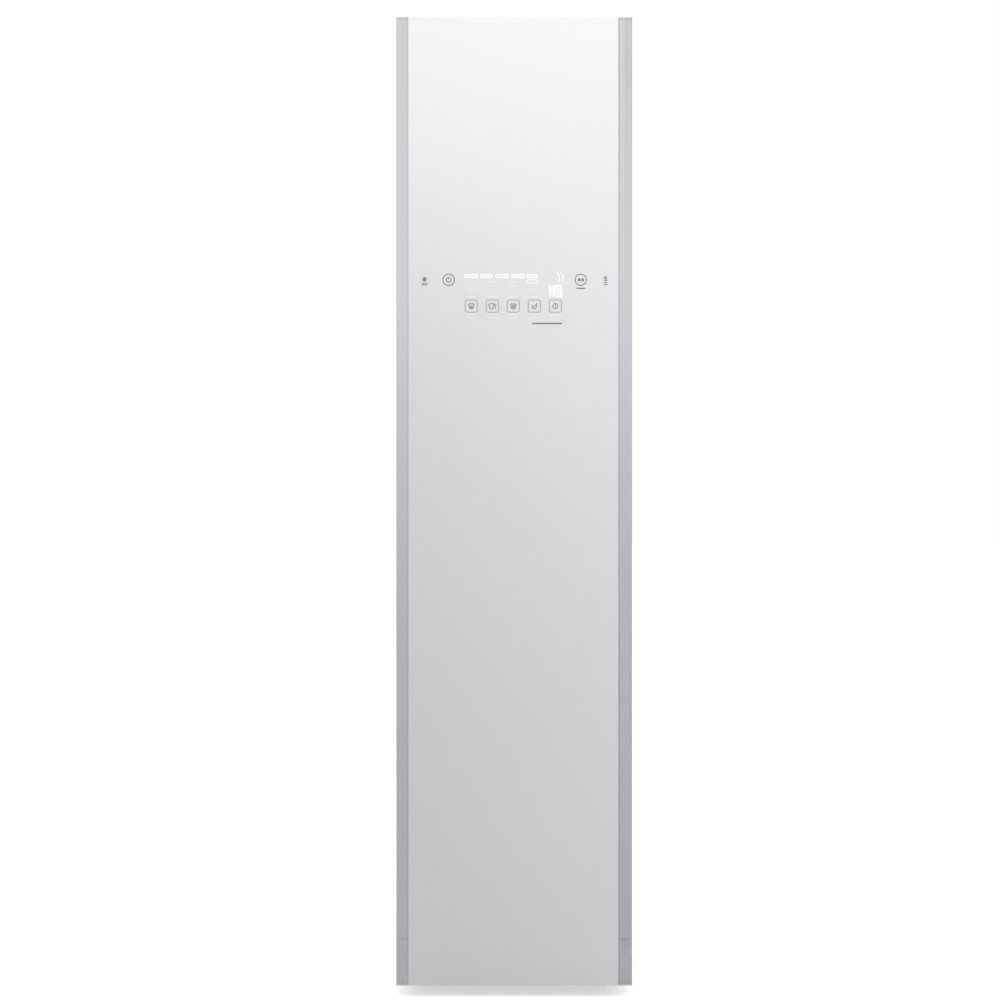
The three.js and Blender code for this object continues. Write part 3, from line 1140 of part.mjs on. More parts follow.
function doorLiner() {
  const earThickness = 12;
  const earReach = 8;
  const earGap = 2; // between an ear and the end of the press board
  const bossRadius = 9;
  const z = coreZ;
  const plate = box(both(HALF), [LINER_FRONT_Y, DOOR_BACK_Y], z);
  const cornerX = [GLASS_RIGHT - OVERRUN, HALF + OVERRUN];
  const cornerY = [LINER_FRONT_Y - OVERRUN, DOOR_BACK_Y + OVERRUN];
  const corners = [
    box(cornerX, cornerY, [HEIGHT - NOTCH, HEIGHT]),
    box(cornerX, cornerY, [0, DOOR_LIFT + NOTCH]),
  ];
  const earBack = PRESS_Y + earReach;
  const earSpans = [
    [PRESS_BOTTOM - earGap - earThickness, PRESS_BOTTOM - earGap],
    [PRESS_TOP + earGap, PRESS_TOP + earGap + earThickness],
  ];
  const ears = earSpans.map((earZ) => box(span(PRESS_AXIS_X, 2 * earReach), [LINER_FRONT_Y, earBack], earZ));
  const pinHoles = earSpans.map(([low, high]) => bar('z', [PRESS_AXIS_X, PRESS_Y], PRESS_PIN_RADIUS + FIT,
    [low - OVERRUN, high + OVERRUN], 16));
  const latchBoss = bar('y', [LATCH_X, LATCH_Z], bossRadius, [LINER_FRONT_Y, LATCH_Y - FIT]);
  const latchHole = bar('y', [LATCH_X, LATCH_Z], LATCH_PIN_RADIUS + FIT,
    [LATCH_Y - FIT - 2 * LATCH_PIN_LENGTH, LATCH_Y], 16);
  const body = joined([plate, ...ears, latchBoss]);
  add('door_liner', cut(body, [...corners, ...pinHoles, latchHole]), 'whitePlastic');
}

function doorSeal() {
  const width = 13;
  const overlap = 2; // inner edge outside the chamber's opening
  const inner = INNER_X + overlap;
  const outer = inner + width;
  const z = [CHAMBER_FLOOR - overlap, CEILING_Z + overlap];
  add('door_seal', prism('y', rectangle(both(outer), [z[0] - width, z[1] + width]),
    [DOOR_BACK_Y + FIT, CABINET_FRONT_Y - FIT], [rectangle(both(inner), z)]), 'paleRubber');
}

// Trouser press on the door

function pressBoard() {
  const edge = 5; // past the hinge axis
  const pinLength = 10;
  const gripWidth = 8;
  const gripHeight = 90;
  const z = [PRESS_BOTTOM, PRESS_TOP];
  const y = span(PRESS_Y, PRESS_THICKNESS);
  const board = box([PRESS_FREE_X, PRESS_AXIS_X + edge], y, z);
  const grip = box([PRESS_FREE_X - OVERRUN, PRESS_FREE_X + gripWidth], [y[0] - OVERRUN, PRESS_Y],
    span(LATCH_Z + gripHeight, gripHeight));
  const pins = [
    bar('z', [PRESS_AXIS_X, PRESS_Y], PRESS_PIN_RADIUS, [z[0] - pinLength, z[0] + pinLength], 16),
    bar('z', [PRESS_AXIS_X, PRESS_Y], PRESS_PIN_RADIUS, [z[1] - pinLength, z[1] + pinLength], 16),
  ];
  add('press_board', joined([cut(board, [grip]), ...pins]), 'padFabric');
}

function pressLatch() {
  const width = 14;
  const reach = 34; // from the pivot to the tip
  const outline = [
    ...arc([LATCH_X, LATCH_Z], width / 2, 0, HALF_TURN, 8),
    ...arc([LATCH_X, LATCH_Z - reach + width / 2], width / 2, HALF_TURN, FULL_TURN, 8),
  ];
  const tongue = prism('y', outline, [LATCH_Y, LATCH_Y + LATCH_THICKNESS]);
  const pin = bar('y', [LATCH_X, LATCH_Z], LATCH_PIN_RADIUS,
    [LATCH_Y - LATCH_PIN_LENGTH, LATCH_Y + LATCH_THICKNESS / 2], 16);
  add('press_latch', joined([tongue, pin]), 'darkPlastic');
}

sidePanel('side_panel_left', -1);
sidePanel('side_panel_right', 1);
rearPanel();
topCover();
frontFrame();
basePan();
feet();
sideLiner('liner_left', -1);
sideLiner('liner_right', 1);
backLiner();
ceiling();
chamberFloor();
tankBay();
tank('supply_tank', -1, 'clearPlastic');
tankCap('supply_tank_cap', -1);
tank('drain_tank', 1, 'blueClearPlastic');
tankCap('drain_tank_cap', 1);
lintFilter();
aromaCase();
shelf();
airGrille();
steamNozzle();
lampLens();
coil('evaporator', EVAPORATOR_Y);
coil('condenser', CONDENSER_Y);
compressor();
boiler();
pump('feed_pump', FEED_PUMP_X);
pump('drain_pump', DRAIN_PUMP_X);
refrigerantPipe();
controlBox();
leadGland();
blowerHousing();
impeller();
blowerMotor();
hangerBar();
hangerCarriage();
driveBracket();
crankWheel();
driveMotor();
motorPulley();
driveBelt();
hingeBracket('hinge_bracket_top', 1);
hingeBracket('hinge_bracket_bottom', -1);
doorGlass();
leftTrim('door_trim_left', trimSpans.main);
leftTrim('door_trim_left_end', trimSpans.end);
rightTrim('door_trim_right', trimSpans.main);
rightTrim('door_trim_right_end', trimSpans.end);
doorCap('door_cap_top', 1);
doorCap('door_cap_bottom', -1);
doorCore();
touchBoard();
doorLiner();
doorSeal();
pressBoard();
pressLatch();

export default cabinet;
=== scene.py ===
from math import cos, pi, radians, sin

import bmesh
import bpy
from mathutils import Matrix, Vector


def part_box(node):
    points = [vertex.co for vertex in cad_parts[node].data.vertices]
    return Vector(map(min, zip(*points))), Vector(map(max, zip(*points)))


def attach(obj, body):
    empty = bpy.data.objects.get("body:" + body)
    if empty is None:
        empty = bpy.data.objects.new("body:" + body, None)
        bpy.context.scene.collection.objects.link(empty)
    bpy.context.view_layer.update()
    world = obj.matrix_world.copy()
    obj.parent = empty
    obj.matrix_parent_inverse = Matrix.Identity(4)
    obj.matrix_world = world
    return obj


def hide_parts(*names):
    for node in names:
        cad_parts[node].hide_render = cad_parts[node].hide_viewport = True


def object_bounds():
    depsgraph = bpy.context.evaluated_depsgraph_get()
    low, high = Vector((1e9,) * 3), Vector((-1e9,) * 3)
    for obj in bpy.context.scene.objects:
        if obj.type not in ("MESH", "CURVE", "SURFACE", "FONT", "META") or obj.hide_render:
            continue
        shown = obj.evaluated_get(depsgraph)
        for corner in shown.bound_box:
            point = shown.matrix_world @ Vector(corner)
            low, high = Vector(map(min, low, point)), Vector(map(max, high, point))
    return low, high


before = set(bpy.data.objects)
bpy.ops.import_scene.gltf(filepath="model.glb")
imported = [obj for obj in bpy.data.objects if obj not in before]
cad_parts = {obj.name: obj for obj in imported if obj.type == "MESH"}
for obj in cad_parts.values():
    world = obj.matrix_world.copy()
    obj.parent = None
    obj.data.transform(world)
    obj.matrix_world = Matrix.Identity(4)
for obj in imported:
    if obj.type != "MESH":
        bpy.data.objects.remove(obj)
cad_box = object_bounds()

# The base pan is one pressing of galvanised sheet steel with four threaded bosses for the feet.
# Everything in the machine space stands on it, and its rim stiffens the foot of the cabinet.

MM = 0.001


def linear(code):
    """A colour written as an sRGB hex, in linear light."""
    parts = [int(code[i:i + 2], 16) / 255 for i in (0, 2, 4)]
    return [c / 12.92 if c <= 0.04045 else ((c + 0.055) / 1.055) ** 2.4 for c in parts] + [1.0]


def add(owner, kind, inputs, **settings):
    """Adds a shader node with its settings; an input is a value, or a socket that it is linked to."""
    fresh = owner.node_tree.nodes.new("ShaderNode" + kind)
    for name, value in settings.items():
        setattr(fresh, name, value)
    for name, value in inputs.items():
        if isinstance(value, bpy.types.NodeSocket):
            owner.node_tree.links.new(value, fresh.inputs[name])
        else:
            fresh.inputs[name].default_value = value
    return fresh.outputs


def new_finish(name):
    """A material with no nodes yet, and the place on the piece that its patterns read."""
    finish = bpy.data.materials.new(name)
    finish.use_nodes = True
    finish.node_tree.nodes.clear()
    return finish, add(finish, "TexCoord", {})["Object"]


def close_finish(finish, **inputs):
    """Gives the material its shader, with a space for each _ in the names of the inputs."""
    sockets = {name.replace("_", " "): value for name, value in inputs.items()}
    shader = add(finish, "BsdfPrincipled", sockets)["BSDF"]
    add(finish, "OutputMaterial", {"Surface": shader})
    return finish


def grained(name, tones, patch, roughness, grain, depth, stretch=(1, 1, 1), **inputs):
    """A finish whose tone drifts in patches and whose gloss and height follow a grain, in millimetres.
    Stretch is how much longer the grain runs along each axis, as brushing or drawing makes it."""
    finish, place = new_finish(name)
    drift = add(finish, "TexNoise", {"Vector": place, "Scale": 1 / (patch * MM), "Detail": 3.0})["Fac"]
    tone = add(finish, "Mix", {0: drift, 6: linear(tones[0]), 7: linear(tones[1])}, data_type="RGBA")[2]
    along = add(finish, "Mapping", {"Vector": place, "Scale": [1 / s for s in stretch]})["Vector"]
    fine = add(finish, "TexNoise", {"Vector": along, "Scale": 1 / (grain * MM), "Detail": 2.0})["Fac"]
    rough = add(finish, "MapRange", {"Value": fine, "To Min": roughness[0], "To Max": roughness[1]})[0]
    relief = add(finish, "Bump", {"Height": fine, "Distance": depth * MM})["Normal"]
    return close_finish(finish, Base_Color=tone, Roughness=rough, Normal=relief, **inputs)


def dress(finish, *nodes):
    """Gives CAD nodes whose shape is right a better material."""
    for node in nodes:
        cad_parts[node].material_slots[0].material = finish


# Galvanised steel: zinc grey with crystals 6 mm across, which catch the light one by one.
galvanised, spot = new_finish("galvanised_steel")
crystal = add(galvanised, "TexVoronoi", {"Vector": spot, "Scale": 1 / (6 * MM)})["Color"]
glint = add(galvanised, "SeparateColor", {"Color": crystal})["Red"]
dust = add(galvanised, "TexNoise", {"Vector": spot, "Scale": 1 / (0.7 * MM), "Detail": 2.0})["Fac"]
zinc = add(galvanised, "Mix", {0: glint, 6: linear("a8acaf"), 7: linear("b7babc")}, data_type="RGBA")[2]
close_finish(
    galvanised, Base_Color=zinc, Metallic=0.85,
    Roughness=add(galvanised, "MapRange", {"Value": glint, "To Min": 0.4, "To Max": 0.52})[0],
    Normal=add(galvanised, "Bump", {"Height": dust, "Distance": 0.02 * MM})["Normal"])
dress(galvanised, "base_pan")

# The levelling feet are moulded in glass-filled nylon round a steel screw.
# A hexagon above the pad takes a spanner, and the ribbed pad grips the floor.


def apply_place():
    """Leaves the place of the active piece in its mesh, and goes into edit mode with nothing chosen."""
    bpy.ops.object.transform_apply(location=True, rotation=True, scale=True)
    bpy.ops.object.mode_set(mode="EDIT")
    bpy.ops.mesh.select_all(action="DESELECT")


def start_box(low, high):
    """Starts a piece from a cube between two corners in millimetres."""
    bpy.ops.object.select_all(action="DESELECT")
    low, high = Vector(low) * MM, Vector(high) * MM
    bpy.ops.mesh.primitive_cube_add(size=1, location=(low + high) / 2, scale=high - low)
    apply_place()


def start_round(centre, radius, sides=48):
    """Starts a piece from a level disc at a place in millimetres, with the disc chosen."""
    bpy.ops.object.select_all(action="DESELECT")
    bpy.ops.mesh.primitive_circle_add(vertices=sides, radius=radius * MM, fill_type="NGON",
                                      location=Vector(centre) * MM)
    apply_place()
    bpy.ops.mesh.select_all(action="SELECT")


def choose(test, kind="faces"):
    """Chooses the faces whose middle in millimetres and normal pass a test, or the edges whose middle
    and direction do."""
    bpy.ops.mesh.select_all(action="DESELECT")
    bpy.ops.mesh.select_mode(type="FACE" if kind == "faces" else "EDGE")
    shape = bmesh.from_edit_mesh(bpy.context.edit_object.data)
    if kind == "faces":
        shape.normal_update()
        for face in shape.faces:
            face.select_set(bool(test(face.calc_center_median() / MM, face.normal)))
    else:
        for edge in shape.edges:
            a, b = (corner.co / MM for corner in edge.verts)
            edge.select_set(bool(test((a + b) / 2, (b - a).normalized())))
    bmesh.update_edit_mesh(bpy.context.edit_object.data)


def push(x, y, z):
    """Extrudes what is chosen by a distance in millimetres."""
    bpy.ops.mesh.extrude_region_move(TRANSFORM_OT_translate={"value": Vector((x, y, z)) * MM})


def build_up(centre, rings, sides=48):
    """Builds a round piece on an upright axis: radius and height in millimetres, from the foot up."""
    start_round((*centre, rings[0][1]), rings[0][0], sides)
    for (radius, height), (wider, higher) in zip(rings, rings[1:]):
        push(0, 0, higher - height)
        bpy.ops.transform.resize(value=(wider / radius, wider / radius, 1),
                                 center_override=Vector((*centre, higher)) * MM)
    bpy.ops.mesh.select_all(action="SELECT")
    bpy.ops.mesh.normals_make_consistent(inside=False)


def lay_over(centre, direction):
    """Turns the piece in edit mode, built upright over a place, so that its axis points in a direction."""
    turn = Vector((0, 0, 1)).rotation_difference(Vector(direction)).to_matrix().to_4x4()
    move = Matrix.Translation(Vector(centre) * MM)
    bpy.ops.object.mode_set(mode="OBJECT")
    bpy.context.object.data.transform(move @ turn @ move.inverted())


def modify(kind, **settings):
    """Adds a modifier to the active piece and applies it."""
    modifier = bpy.context.object.modifiers.new(kind.lower(), kind)
    for name, value in settings.items():
        setattr(modifier, name, value)
    bpy.ops.object.modifier_apply(modifier=modifier.name)


def complete(name, body, finish, slot, *nodes, round_edges=0.0, angle=32):
    """Ends a piece: rounded edges in millimetres, shading that is smooth up to an angle in degrees, name,
    finish, body and the CAD nodes that it stands for. The slot is not used."""
    if bpy.context.mode != "OBJECT":
        bpy.ops.object.mode_set(mode="OBJECT")
    piece = bpy.context.object
    if round_edges:
        modify("BEVEL", width=round_edges * MM, segments=2, limit_method="ANGLE",
               angle_limit=radians(angle), use_clamp_overlap=False, loop_slide=False)
    bpy.ops.object.shade_smooth_by_angle(angle=radians(angle))
    if round_edges:
        modify("WEIGHTED_NORMAL", keep_sharp=True)
    piece.name = piece.data.name = name
    piece.data.materials.clear()
    piece.data.materials.append(finish)
    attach(piece, body)
    if nodes:
        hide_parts(*nodes)
    return piece


def shift(x, y, z):
    """Moves the mesh of the active piece by a distance in millimetres."""
    bpy.context.object.data.transform(Matrix.Translation(Vector((x, y, z)) * MM))


def repeat(piece, moves):
    """Joins moved copies of a piece to it, each with its own mesh; a move is in millimetres."""
    bpy.ops.object.select_all(action="DESELECT")
    for move in moves:
        twin = piece.copy()
        twin.data = piece.data.copy()
        twin.data.transform(Matrix.Translation(Vector(move) * MM))
        bpy.context.collection.objects.link(twin)
        twin.select_set(True)
    piece.select_set(True)
    bpy.context.view_layer.objects.active = piece
    bpy.ops.object.join()


def recast(node, body, finish, slot, round_edges=0.0, angle=32):
    """A copy of a CAD node, merged and with rounded edges, that stands for it."""
    bpy.ops.object.select_all(action="DESELECT")
    piece = bpy.data.objects.new(node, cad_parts[node].data.copy())
    bpy.context.collection.objects.link(piece)
    piece.select_set(True)
    bpy.context.view_layer.objects.active = piece
    bpy.ops.object.mode_set(mode="EDIT")
    bpy.ops.mesh.select_all(action="SELECT")
    bpy.ops.mesh.remove_doubles(threshold=0.01 * MM)
    bpy.ops.mesh.dissolve_limited(angle_limit=radians(0.5))
    return complete(node + "_shell", body, finish, slot, node, round_edges=round_edges, angle=angle)


def span(node):
    """The lowest and highest corners of a CAD node in millimetres, to the hundredth."""
    return [Vector([round(value / MM, 2) for value in corner]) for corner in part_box(node)]


def centre_of(node):
    """The middle of a CAD node's box in millimetres."""
    low, high = span(node)
    return (low + high) / 2


# Black nylon: glass fibres near the skin leave a satin, slightly rough face with faint paler flecks.
black_nylon = grained("black_glass_filled_nylon", ("1b1c1e", "27282b"), 30, (0.42, 0.6), 0.5, 0.03)
PAD_PROFILE = [(16, 0), (17, 0.8), (17, 6), (14, 9), (11, 9.4)]
HEXAGON_PROFILE = [(11, 24.6), (10, 25.6), (5, 25.7)]
SCREW_PROFILE = [(5, 52.4), (4.4, 53)]
RIBS_TOP = 20
for corner in ("front_left", "front_right", "rear_left", "rear_right"):
    foot = "foot_" + corner
    build_up(centre_of(foot).xy, PAD_PROFILE + HEXAGON_PROFILE + SCREW_PROFILE, 36)
    choose(lambda middle, normal: abs(normal.z) < 0.2 and middle.z < RIBS_TOP)
    bpy.ops.mesh.inset(thickness=0.35 * MM, depth=-0.5 * MM, use_individual=True)
    complete("foot_pad_" + corner, foot, black_nylon, "black_plastic", foot)

# The heat pump dries the air: two coils of aluminium fins, a hermetic compressor and a copper line.
# The compressor's can is deep drawn in two halves, welded round the waist and dipped in enamel.

# Fin stock: rolled foil, bright and nearly plain, with faint rolling lines along each fin.
fin_stock = grained("rolled_aluminium_foil", ("c3c7cb", "d0d3d6"), 25, (0.28, 0.42), 0.4, 0.02,
                    (1, 1, 30), Metallic=1.0)
dress(fin_stock, "evaporator", "condenser")

# Black enamel: dipped and baked, a gloss coat over a soft orange peel.
black_enamel = grained("black_baked_enamel", ("202225", "2a2c30"), 60, (0.3, 0.4), 2.2, 0.03,
                       Coat_Weight=0.4, Coat_Roughness=0.12)
flange = [(61, 29.4), (62, 30), (62, 33), (61, 33.4), (43, 34), (42, 36), (42, 45), (46, 47)]
lower_half = [(53, 50), (53, 118)]
weld = [(54, 119), (54, 127)]
upper_half = [(53, 128), (53, 205), (51.5, 211), (48, 217), (42, 221.5), (34, 224.4), (12, 225), (11, 224.6)]
build_up(centre_of("compressor").xy, flange + lower_half + weld + upper_half)
complete("compressor_can", "cabinet", black_enamel, "black_paint", "compressor")

# Drawn copper: warm and half bright, a little browned by brazing.
drawn_copper = grained("drawn_copper", ("a9653d", "c07a4f"), 40, (0.24, 0.4), 0.5, 0.015, (8, 1, 8),
                       Metallic=1.0)
recast("refrigerant_pipe", "cabinet", drawn_copper, "copper_tube", angle=60)

# The boiler is a deep drawn stainless can with two rolled beads, and its neck goes up into the nozzle.
# Two small pumps of dark nylon stand in front of it, one for each tank.

# Brushed stainless steel: fine level lines round the can, bright, with a soft highlight.
stainless = grained("brushed_stainless_steel", ("bcbec1", "c8cacc"), 50, (0.22, 0.32), 0.35, 0.003,
                    (12, 12, 1), Metallic=1.0)
BOILER = (120.0, 49.2)
stand = [(29, 29.4), (30, 30), (30, 50), (33, 55), (39, 62)]
lower_bead = [(40, 112), (38.6, 113), (38.6, 116), (40, 117)]
upper_bead = [(40, 200), (38.6, 201), (38.6, 204), (40, 205)]
dome = [(40, 284), (38, 292), (33, 298), (26, 300), (10, 300.3)]
neck = [(9, 301.5), (9, 371), (8, 371.6)]
build_up(BOILER, stand + [(40, 66)] + lower_bead + upper_bead + dome + neck)
complete("boiler_can", "cabinet", stainless, "stainless", "steam_boiler")

# Dark nylon: moulded and matt, with a fine spark-eroded texture from the tool.
dark_nylon = grained("dark_moulded_nylon", ("36383c", "42454a"), 35, (0.5, 0.64), 0.6, 0.04)
COVER_DEPTH = 3.5
for pump in ("feed_pump", "drain_pump"):
    recast(pump, "cabinet", dark_nylon, "dark_plastic", 1.0)
    centre = centre_of(pump)
    front = span(pump)[0].y - COVER_DEPTH
    build_up((centre.x, front), [(6, 0), (7, 0.6), (7, 3), (6, COVER_DEPTH)], 24)
    lay_over((centre.x, front, 0), (0, 1, 0))
    shift(0, 0, centre.z)
    complete(pump + "_cover", "cabinet", galvanised, "galvanised")

# The blower drives the drying air: a scroll of dark nylon in halves, a moulded wheel, and a motor in
# a galvanised can with cooling slots. The control box beside it is dark nylon too, with a screwed lid.
recast("blower_housing", "cabinet", dark_nylon, "dark_plastic", 0.8)
recast("blower_impeller", "blower_impeller", black_nylon, "black_plastic", 0.3)
recast("control_box", "cabinet", dark_nylon, "dark_plastic", 0.7)


def screw(name, body, finish, slot, centre, direction, radius, head):
    """A pan-head screw with a round socket, with its head standing out from a place."""
    build_up((0, 0), [(radius * 0.96, 0), (radius, head * 0.3), (radius * 0.9, head * 0.75),
                      (radius * 0.62, head)], 20)
    choose(lambda middle, normal: normal.z > 0.9 and middle.z > head * 0.9)
    bpy.ops.mesh.inset(thickness=radius * 0.22 * MM, depth=0)
    push(0, 0, -head * 0.6)
    lay_over((0, 0, 0), direction)
    shift(*centre)
    return complete(name, body, finish, slot)


axle = centre_of("blower_impeller")
HOUSING_CIRCLE = 72
HOUSING_TURNS = (62, 118, 180, 232, 308)
fixing = screw("blower_housing_screws", "cabinet", stainless, "stainless",
               (axle.x + HOUSING_CIRCLE, span("blower_housing")[1].y, axle.z), (0, 1, 0), 3.4, 2)
repeat(fixing, [(HOUSING_CIRCLE * (cos(radians(turn)) - 1), 0, HOUSING_CIRCLE * sin(radians(turn)))
                for turn in HOUSING_TURNS])

# The control box has cooling ribs and four screws in its lid, and three grommets for the wires.
low, high = span("control_box")
RIBS, RIB_GAP, RIB_LEFT, RIB_WIDTH, RIB_FRONT, RIB_BACK = 13, 8, 22, 3, 11.4, 10.6
start_box((low.x + RIB_LEFT, low.y + RIB_FRONT, high.z - 0.4),
          (low.x + RIB_LEFT + RIB_WIDTH, high.y - RIB_BACK, high.z + 1.4))
rib = complete("control_box_ribs", "cabinet", dark_nylon, "dark_plastic", round_edges=0.5)
repeat(rib, [(RIB_GAP * step, 0, 0) for step in range(1, RIBS)])
LID_SCREWS_WIDE, LID_SCREWS_DEEP = 120, 42
fixing = screw("control_box_screws", "cabinet", stainless, "stainless",
               (low.x + 10, low.y + 9.4, high.z - 0.1), (0, 0, 1), 3, 1.8)
repeat(fixing, [(across, deep, 0) for across in (0, LID_SCREWS_WIDE) for deep in (0, LID_SCREWS_DEEP)
                if across or deep])
GROMMET_LEFT, GROMMET_HEIGHT = 28, 62
build_up((0, 0), [(8, 0), (8.6, 0.8), (8.6, 2.4), (6, 3), (5.6, 7), (4.4, 7.6), (4, 6)], 28)
lay_over((0, 0, 0), (0, -1, 0))
shift(low.x + GROMMET_LEFT, low.y + 0.2, GROMMET_HEIGHT)
grommet = complete("control_box_grommets", "cabinet", black_nylon, "black_plastic")
repeat(grommet, [(28, 0, 0), (84, 0, 0)])

# The motor's can has a bore for the shaft, a rolled bead, slots round it and a raised bearing seat.
motor_face = span("blower_motor")[0].y
bore = [(6.3, 14), (6.3, 0)]
barrel = [(39, 0), (40, 1), (40, 7), (38.6, 8), (38.6, 10), (40, 11), (40, 55), (38.5, 59), (35, 61.5)]
bearing_seat = [(22, 62), (21.5, 69), (20.5, 70), (8, 70.2), (7.5, 69.5)]
build_up((axle.x, motor_face), bore + barrel + bearing_seat)
SLOTS_FOOT, SLOTS_TOP = 12, 54
choose(lambda middle, normal: abs(normal.z) < 0.1 and SLOTS_FOOT < middle.z < SLOTS_TOP)
bpy.ops.mesh.inset(thickness=1.1 * MM, depth=-0.7 * MM, use_individual=True)
lay_over((axle.x, motor_face, 0), (0, 1, 0))
shift(0, 0, axle.z)
complete("blower_motor_can", "cabinet", galvanised, "galvanised", "blower_motor")

# The chamber is lined with vacuum-formed sheets, white and smooth to wipe down. The back sheet has
# raised panels that stiffen it, and the side sheets have low upright beads and a ledge for the shelf.

# White ABS: thermoformed sheet with a satin gloss and a faint, wide waviness from the forming.
white_abs = grained("white_thermoformed_abs", ("dddedd", "e2e3e1"), 80, (0.32, 0.42), 3.0, 0.03)


def slice_at(axis, *values):
    """Cuts the whole piece in edit mode at values in millimetres along an axis."""
    normal = Vector([float(axis == name) for name in "xyz"])
    for value in values:
        bpy.ops.mesh.select_all(action="SELECT")
        bpy.ops.mesh.bisect(plane_co=normal * value * MM, plane_no=normal)


PANEL_FOOT, PANEL_TOP, PANEL_HALF, PANEL_SLOPE, PANEL_RISE = 640, 1600, 28, 5, 2.6
lanes = (-122, -42, 42, 122)
start_box(*span("liner_back"))
slice_at("x", *(lane + edge for lane in lanes for edge in (-PANEL_HALF, PANEL_HALF)))
slice_at("z", PANEL_FOOT, PANEL_TOP)
choose(lambda middle, normal: normal.y < -0.9 and PANEL_FOOT < middle.z < PANEL_TOP
       and any(abs(middle.x - lane) < 5 for lane in lanes))
bpy.ops.mesh.inset(thickness=PANEL_SLOPE * MM, depth=PANEL_RISE * MM, use_individual=True)
complete("liner_back_sheet", "cabinet", white_abs, "white_plastic", "liner_back", round_edges=0.5,
         angle=12)
LINER_FACE = 190.5  # from the middle of the cabinet to the inner face of a side sheet
BEAD_FOOT, BEAD_TOP, BEAD_FRONT, BEAD_WIDTH, BEAD_GAP = 730, 1590, -125, 8, 60
for side, name in ((-1, "liner_left"), (1, "liner_right")):
    recast(name, "cabinet", white_abs, "white_plastic", 0.5)
    near, far = sorted((side * (LINER_FACE - 1), side * (LINER_FACE + 0.2)))
    start_box((near, BEAD_FRONT, BEAD_FOOT), (far, BEAD_FRONT + BEAD_WIDTH, BEAD_TOP))
    bead = complete(name + "_beads", "cabinet", white_abs, "white_plastic", round_edges=0.45)
    repeat(bead, [(0, BEAD_GAP * step, 0) for step in range(1, 6)])
recast("liner_ceiling", "cabinet", white_abs, "white_plastic", 0.4)
recast("chamber_floor", "cabinet", white_abs, "white_plastic", 0.5)

# Fittings that are pushed into the chamber's floor and ceiling: the air grille, the steam nozzle with
# its slot, and a lamp lens of opal acrylic with fine ribs inside.

# Grey ABS: injection moulded, with a fine even spark texture that keeps fingerprints away.
grey_abs = grained("grey_moulded_abs", ("b2b5b9", "bcbfc3"), 60, (0.44, 0.56), 0.8, 0.04)
recast("air_grille", "cabinet", grey_abs, "grey_plastic", 0.6)
recast("steam_nozzle", "cabinet", grey_abs, "grey_plastic", 0.4)

# Opal acrylic: smooth, milky and a little see-through, which spreads the lamp's light.
opal = grained("opal_acrylic", ("f4f1e4", "faf8ee"), 20, (0.16, 0.24), 1.2, 0.02,
               Transmission_Weight=0.25, IOR=1.49,
               Subsurface_Weight=0.2, Subsurface_Radius=(0.01, 0.01, 0.01))
LENS_RIM, LENS_RIB_GAP, RIBBED_HALF = 3, 4, 60
centre = centre_of("lamp_lens")
start_box(*span("lamp_lens"))
choose(lambda middle, normal: normal.z < -0.9)
bpy.ops.mesh.inset(thickness=LENS_RIM * MM, depth=0)
slice_at("x", *range(-RIBBED_HALF, RIBBED_HALF + 1, LENS_RIB_GAP))
choose(lambda middle, normal: normal.z < -0.9 and abs(middle.x) < RIBBED_HALF
       and abs(middle.y - centre.y) < 8)
bpy.ops.mesh.inset(thickness=0.5 * MM, depth=-0.7 * MM, use_individual=True)
complete("lamp_cover", "cabinet", opal, "lamp_diffuser", "lamp_lens", round_edges=0.25)

# The tank bay is a grey tray behind the front frame, with a divider and a valve spigot for each tank.
# The tanks are blow-moulded and lift off their valves; each has a hinged cap and a finger grip.
recast("tank_bay", "cabinet", grey_abs, "grey_plastic", 0.6)


def clear_plastic(name, tones):
    """Copolyester: clear and glossy with a slight haze, and a tint that shows the water's level."""
    return grained(name, tones, 60, (0.1, 0.2), 6.0, 0.05, Transmission_Weight=0.72, IOR=1.45)


clear_tank = clear_plastic("clear_copolyester", ("eef5f8", "f4f9fb"))
blue_tank = clear_plastic("blue_copolyester", ("bfe0f0", "cbe6f3"))

# Pale print: a thin matt ink, even, and a little proud of the plastic.
pale_print = grained("pale_screen_print", ("f1f2f3", "f8f8f8"), 10, (0.5, 0.6), 0.5, 0.01)
LOWEST_MARK, MARK_GAP = 84, 11
MARK_LEFT, MARK_WIDTH, MARK_HEIGHT = -70, 16, 1.2
for tank, finish, slot in (("supply_tank", clear_tank, "clear_tank"), ("drain_tank", blue_tank, "blue_tank")):
    recast(tank, tank, finish, slot, 0.7)
    recast(tank + "_cap", tank + "_cap", dark_nylon, "dark_plastic", 0.6)
    left = centre_of(tank).x + MARK_LEFT
    front = span(tank)[0].y
    start_box((left, front - 0.12, LOWEST_MARK),
              (left + MARK_WIDTH, front + 0.05, LOWEST_MARK + MARK_HEIGHT))
    mark = complete(tank + "_marks", tank, pale_print, "white_plastic")
    repeat(mark, [(0, 0, MARK_GAP * step) for step in range(1, 7)])

# The lint filter is a moulded basket with a loop to lift it by, and a nylon gauze in each window.
# The aroma case beside it is a clear blue box with a slotted lid and a knob.
recast("lint_filter", "lint_filter", grey_abs, "grey_plastic", 0.5)

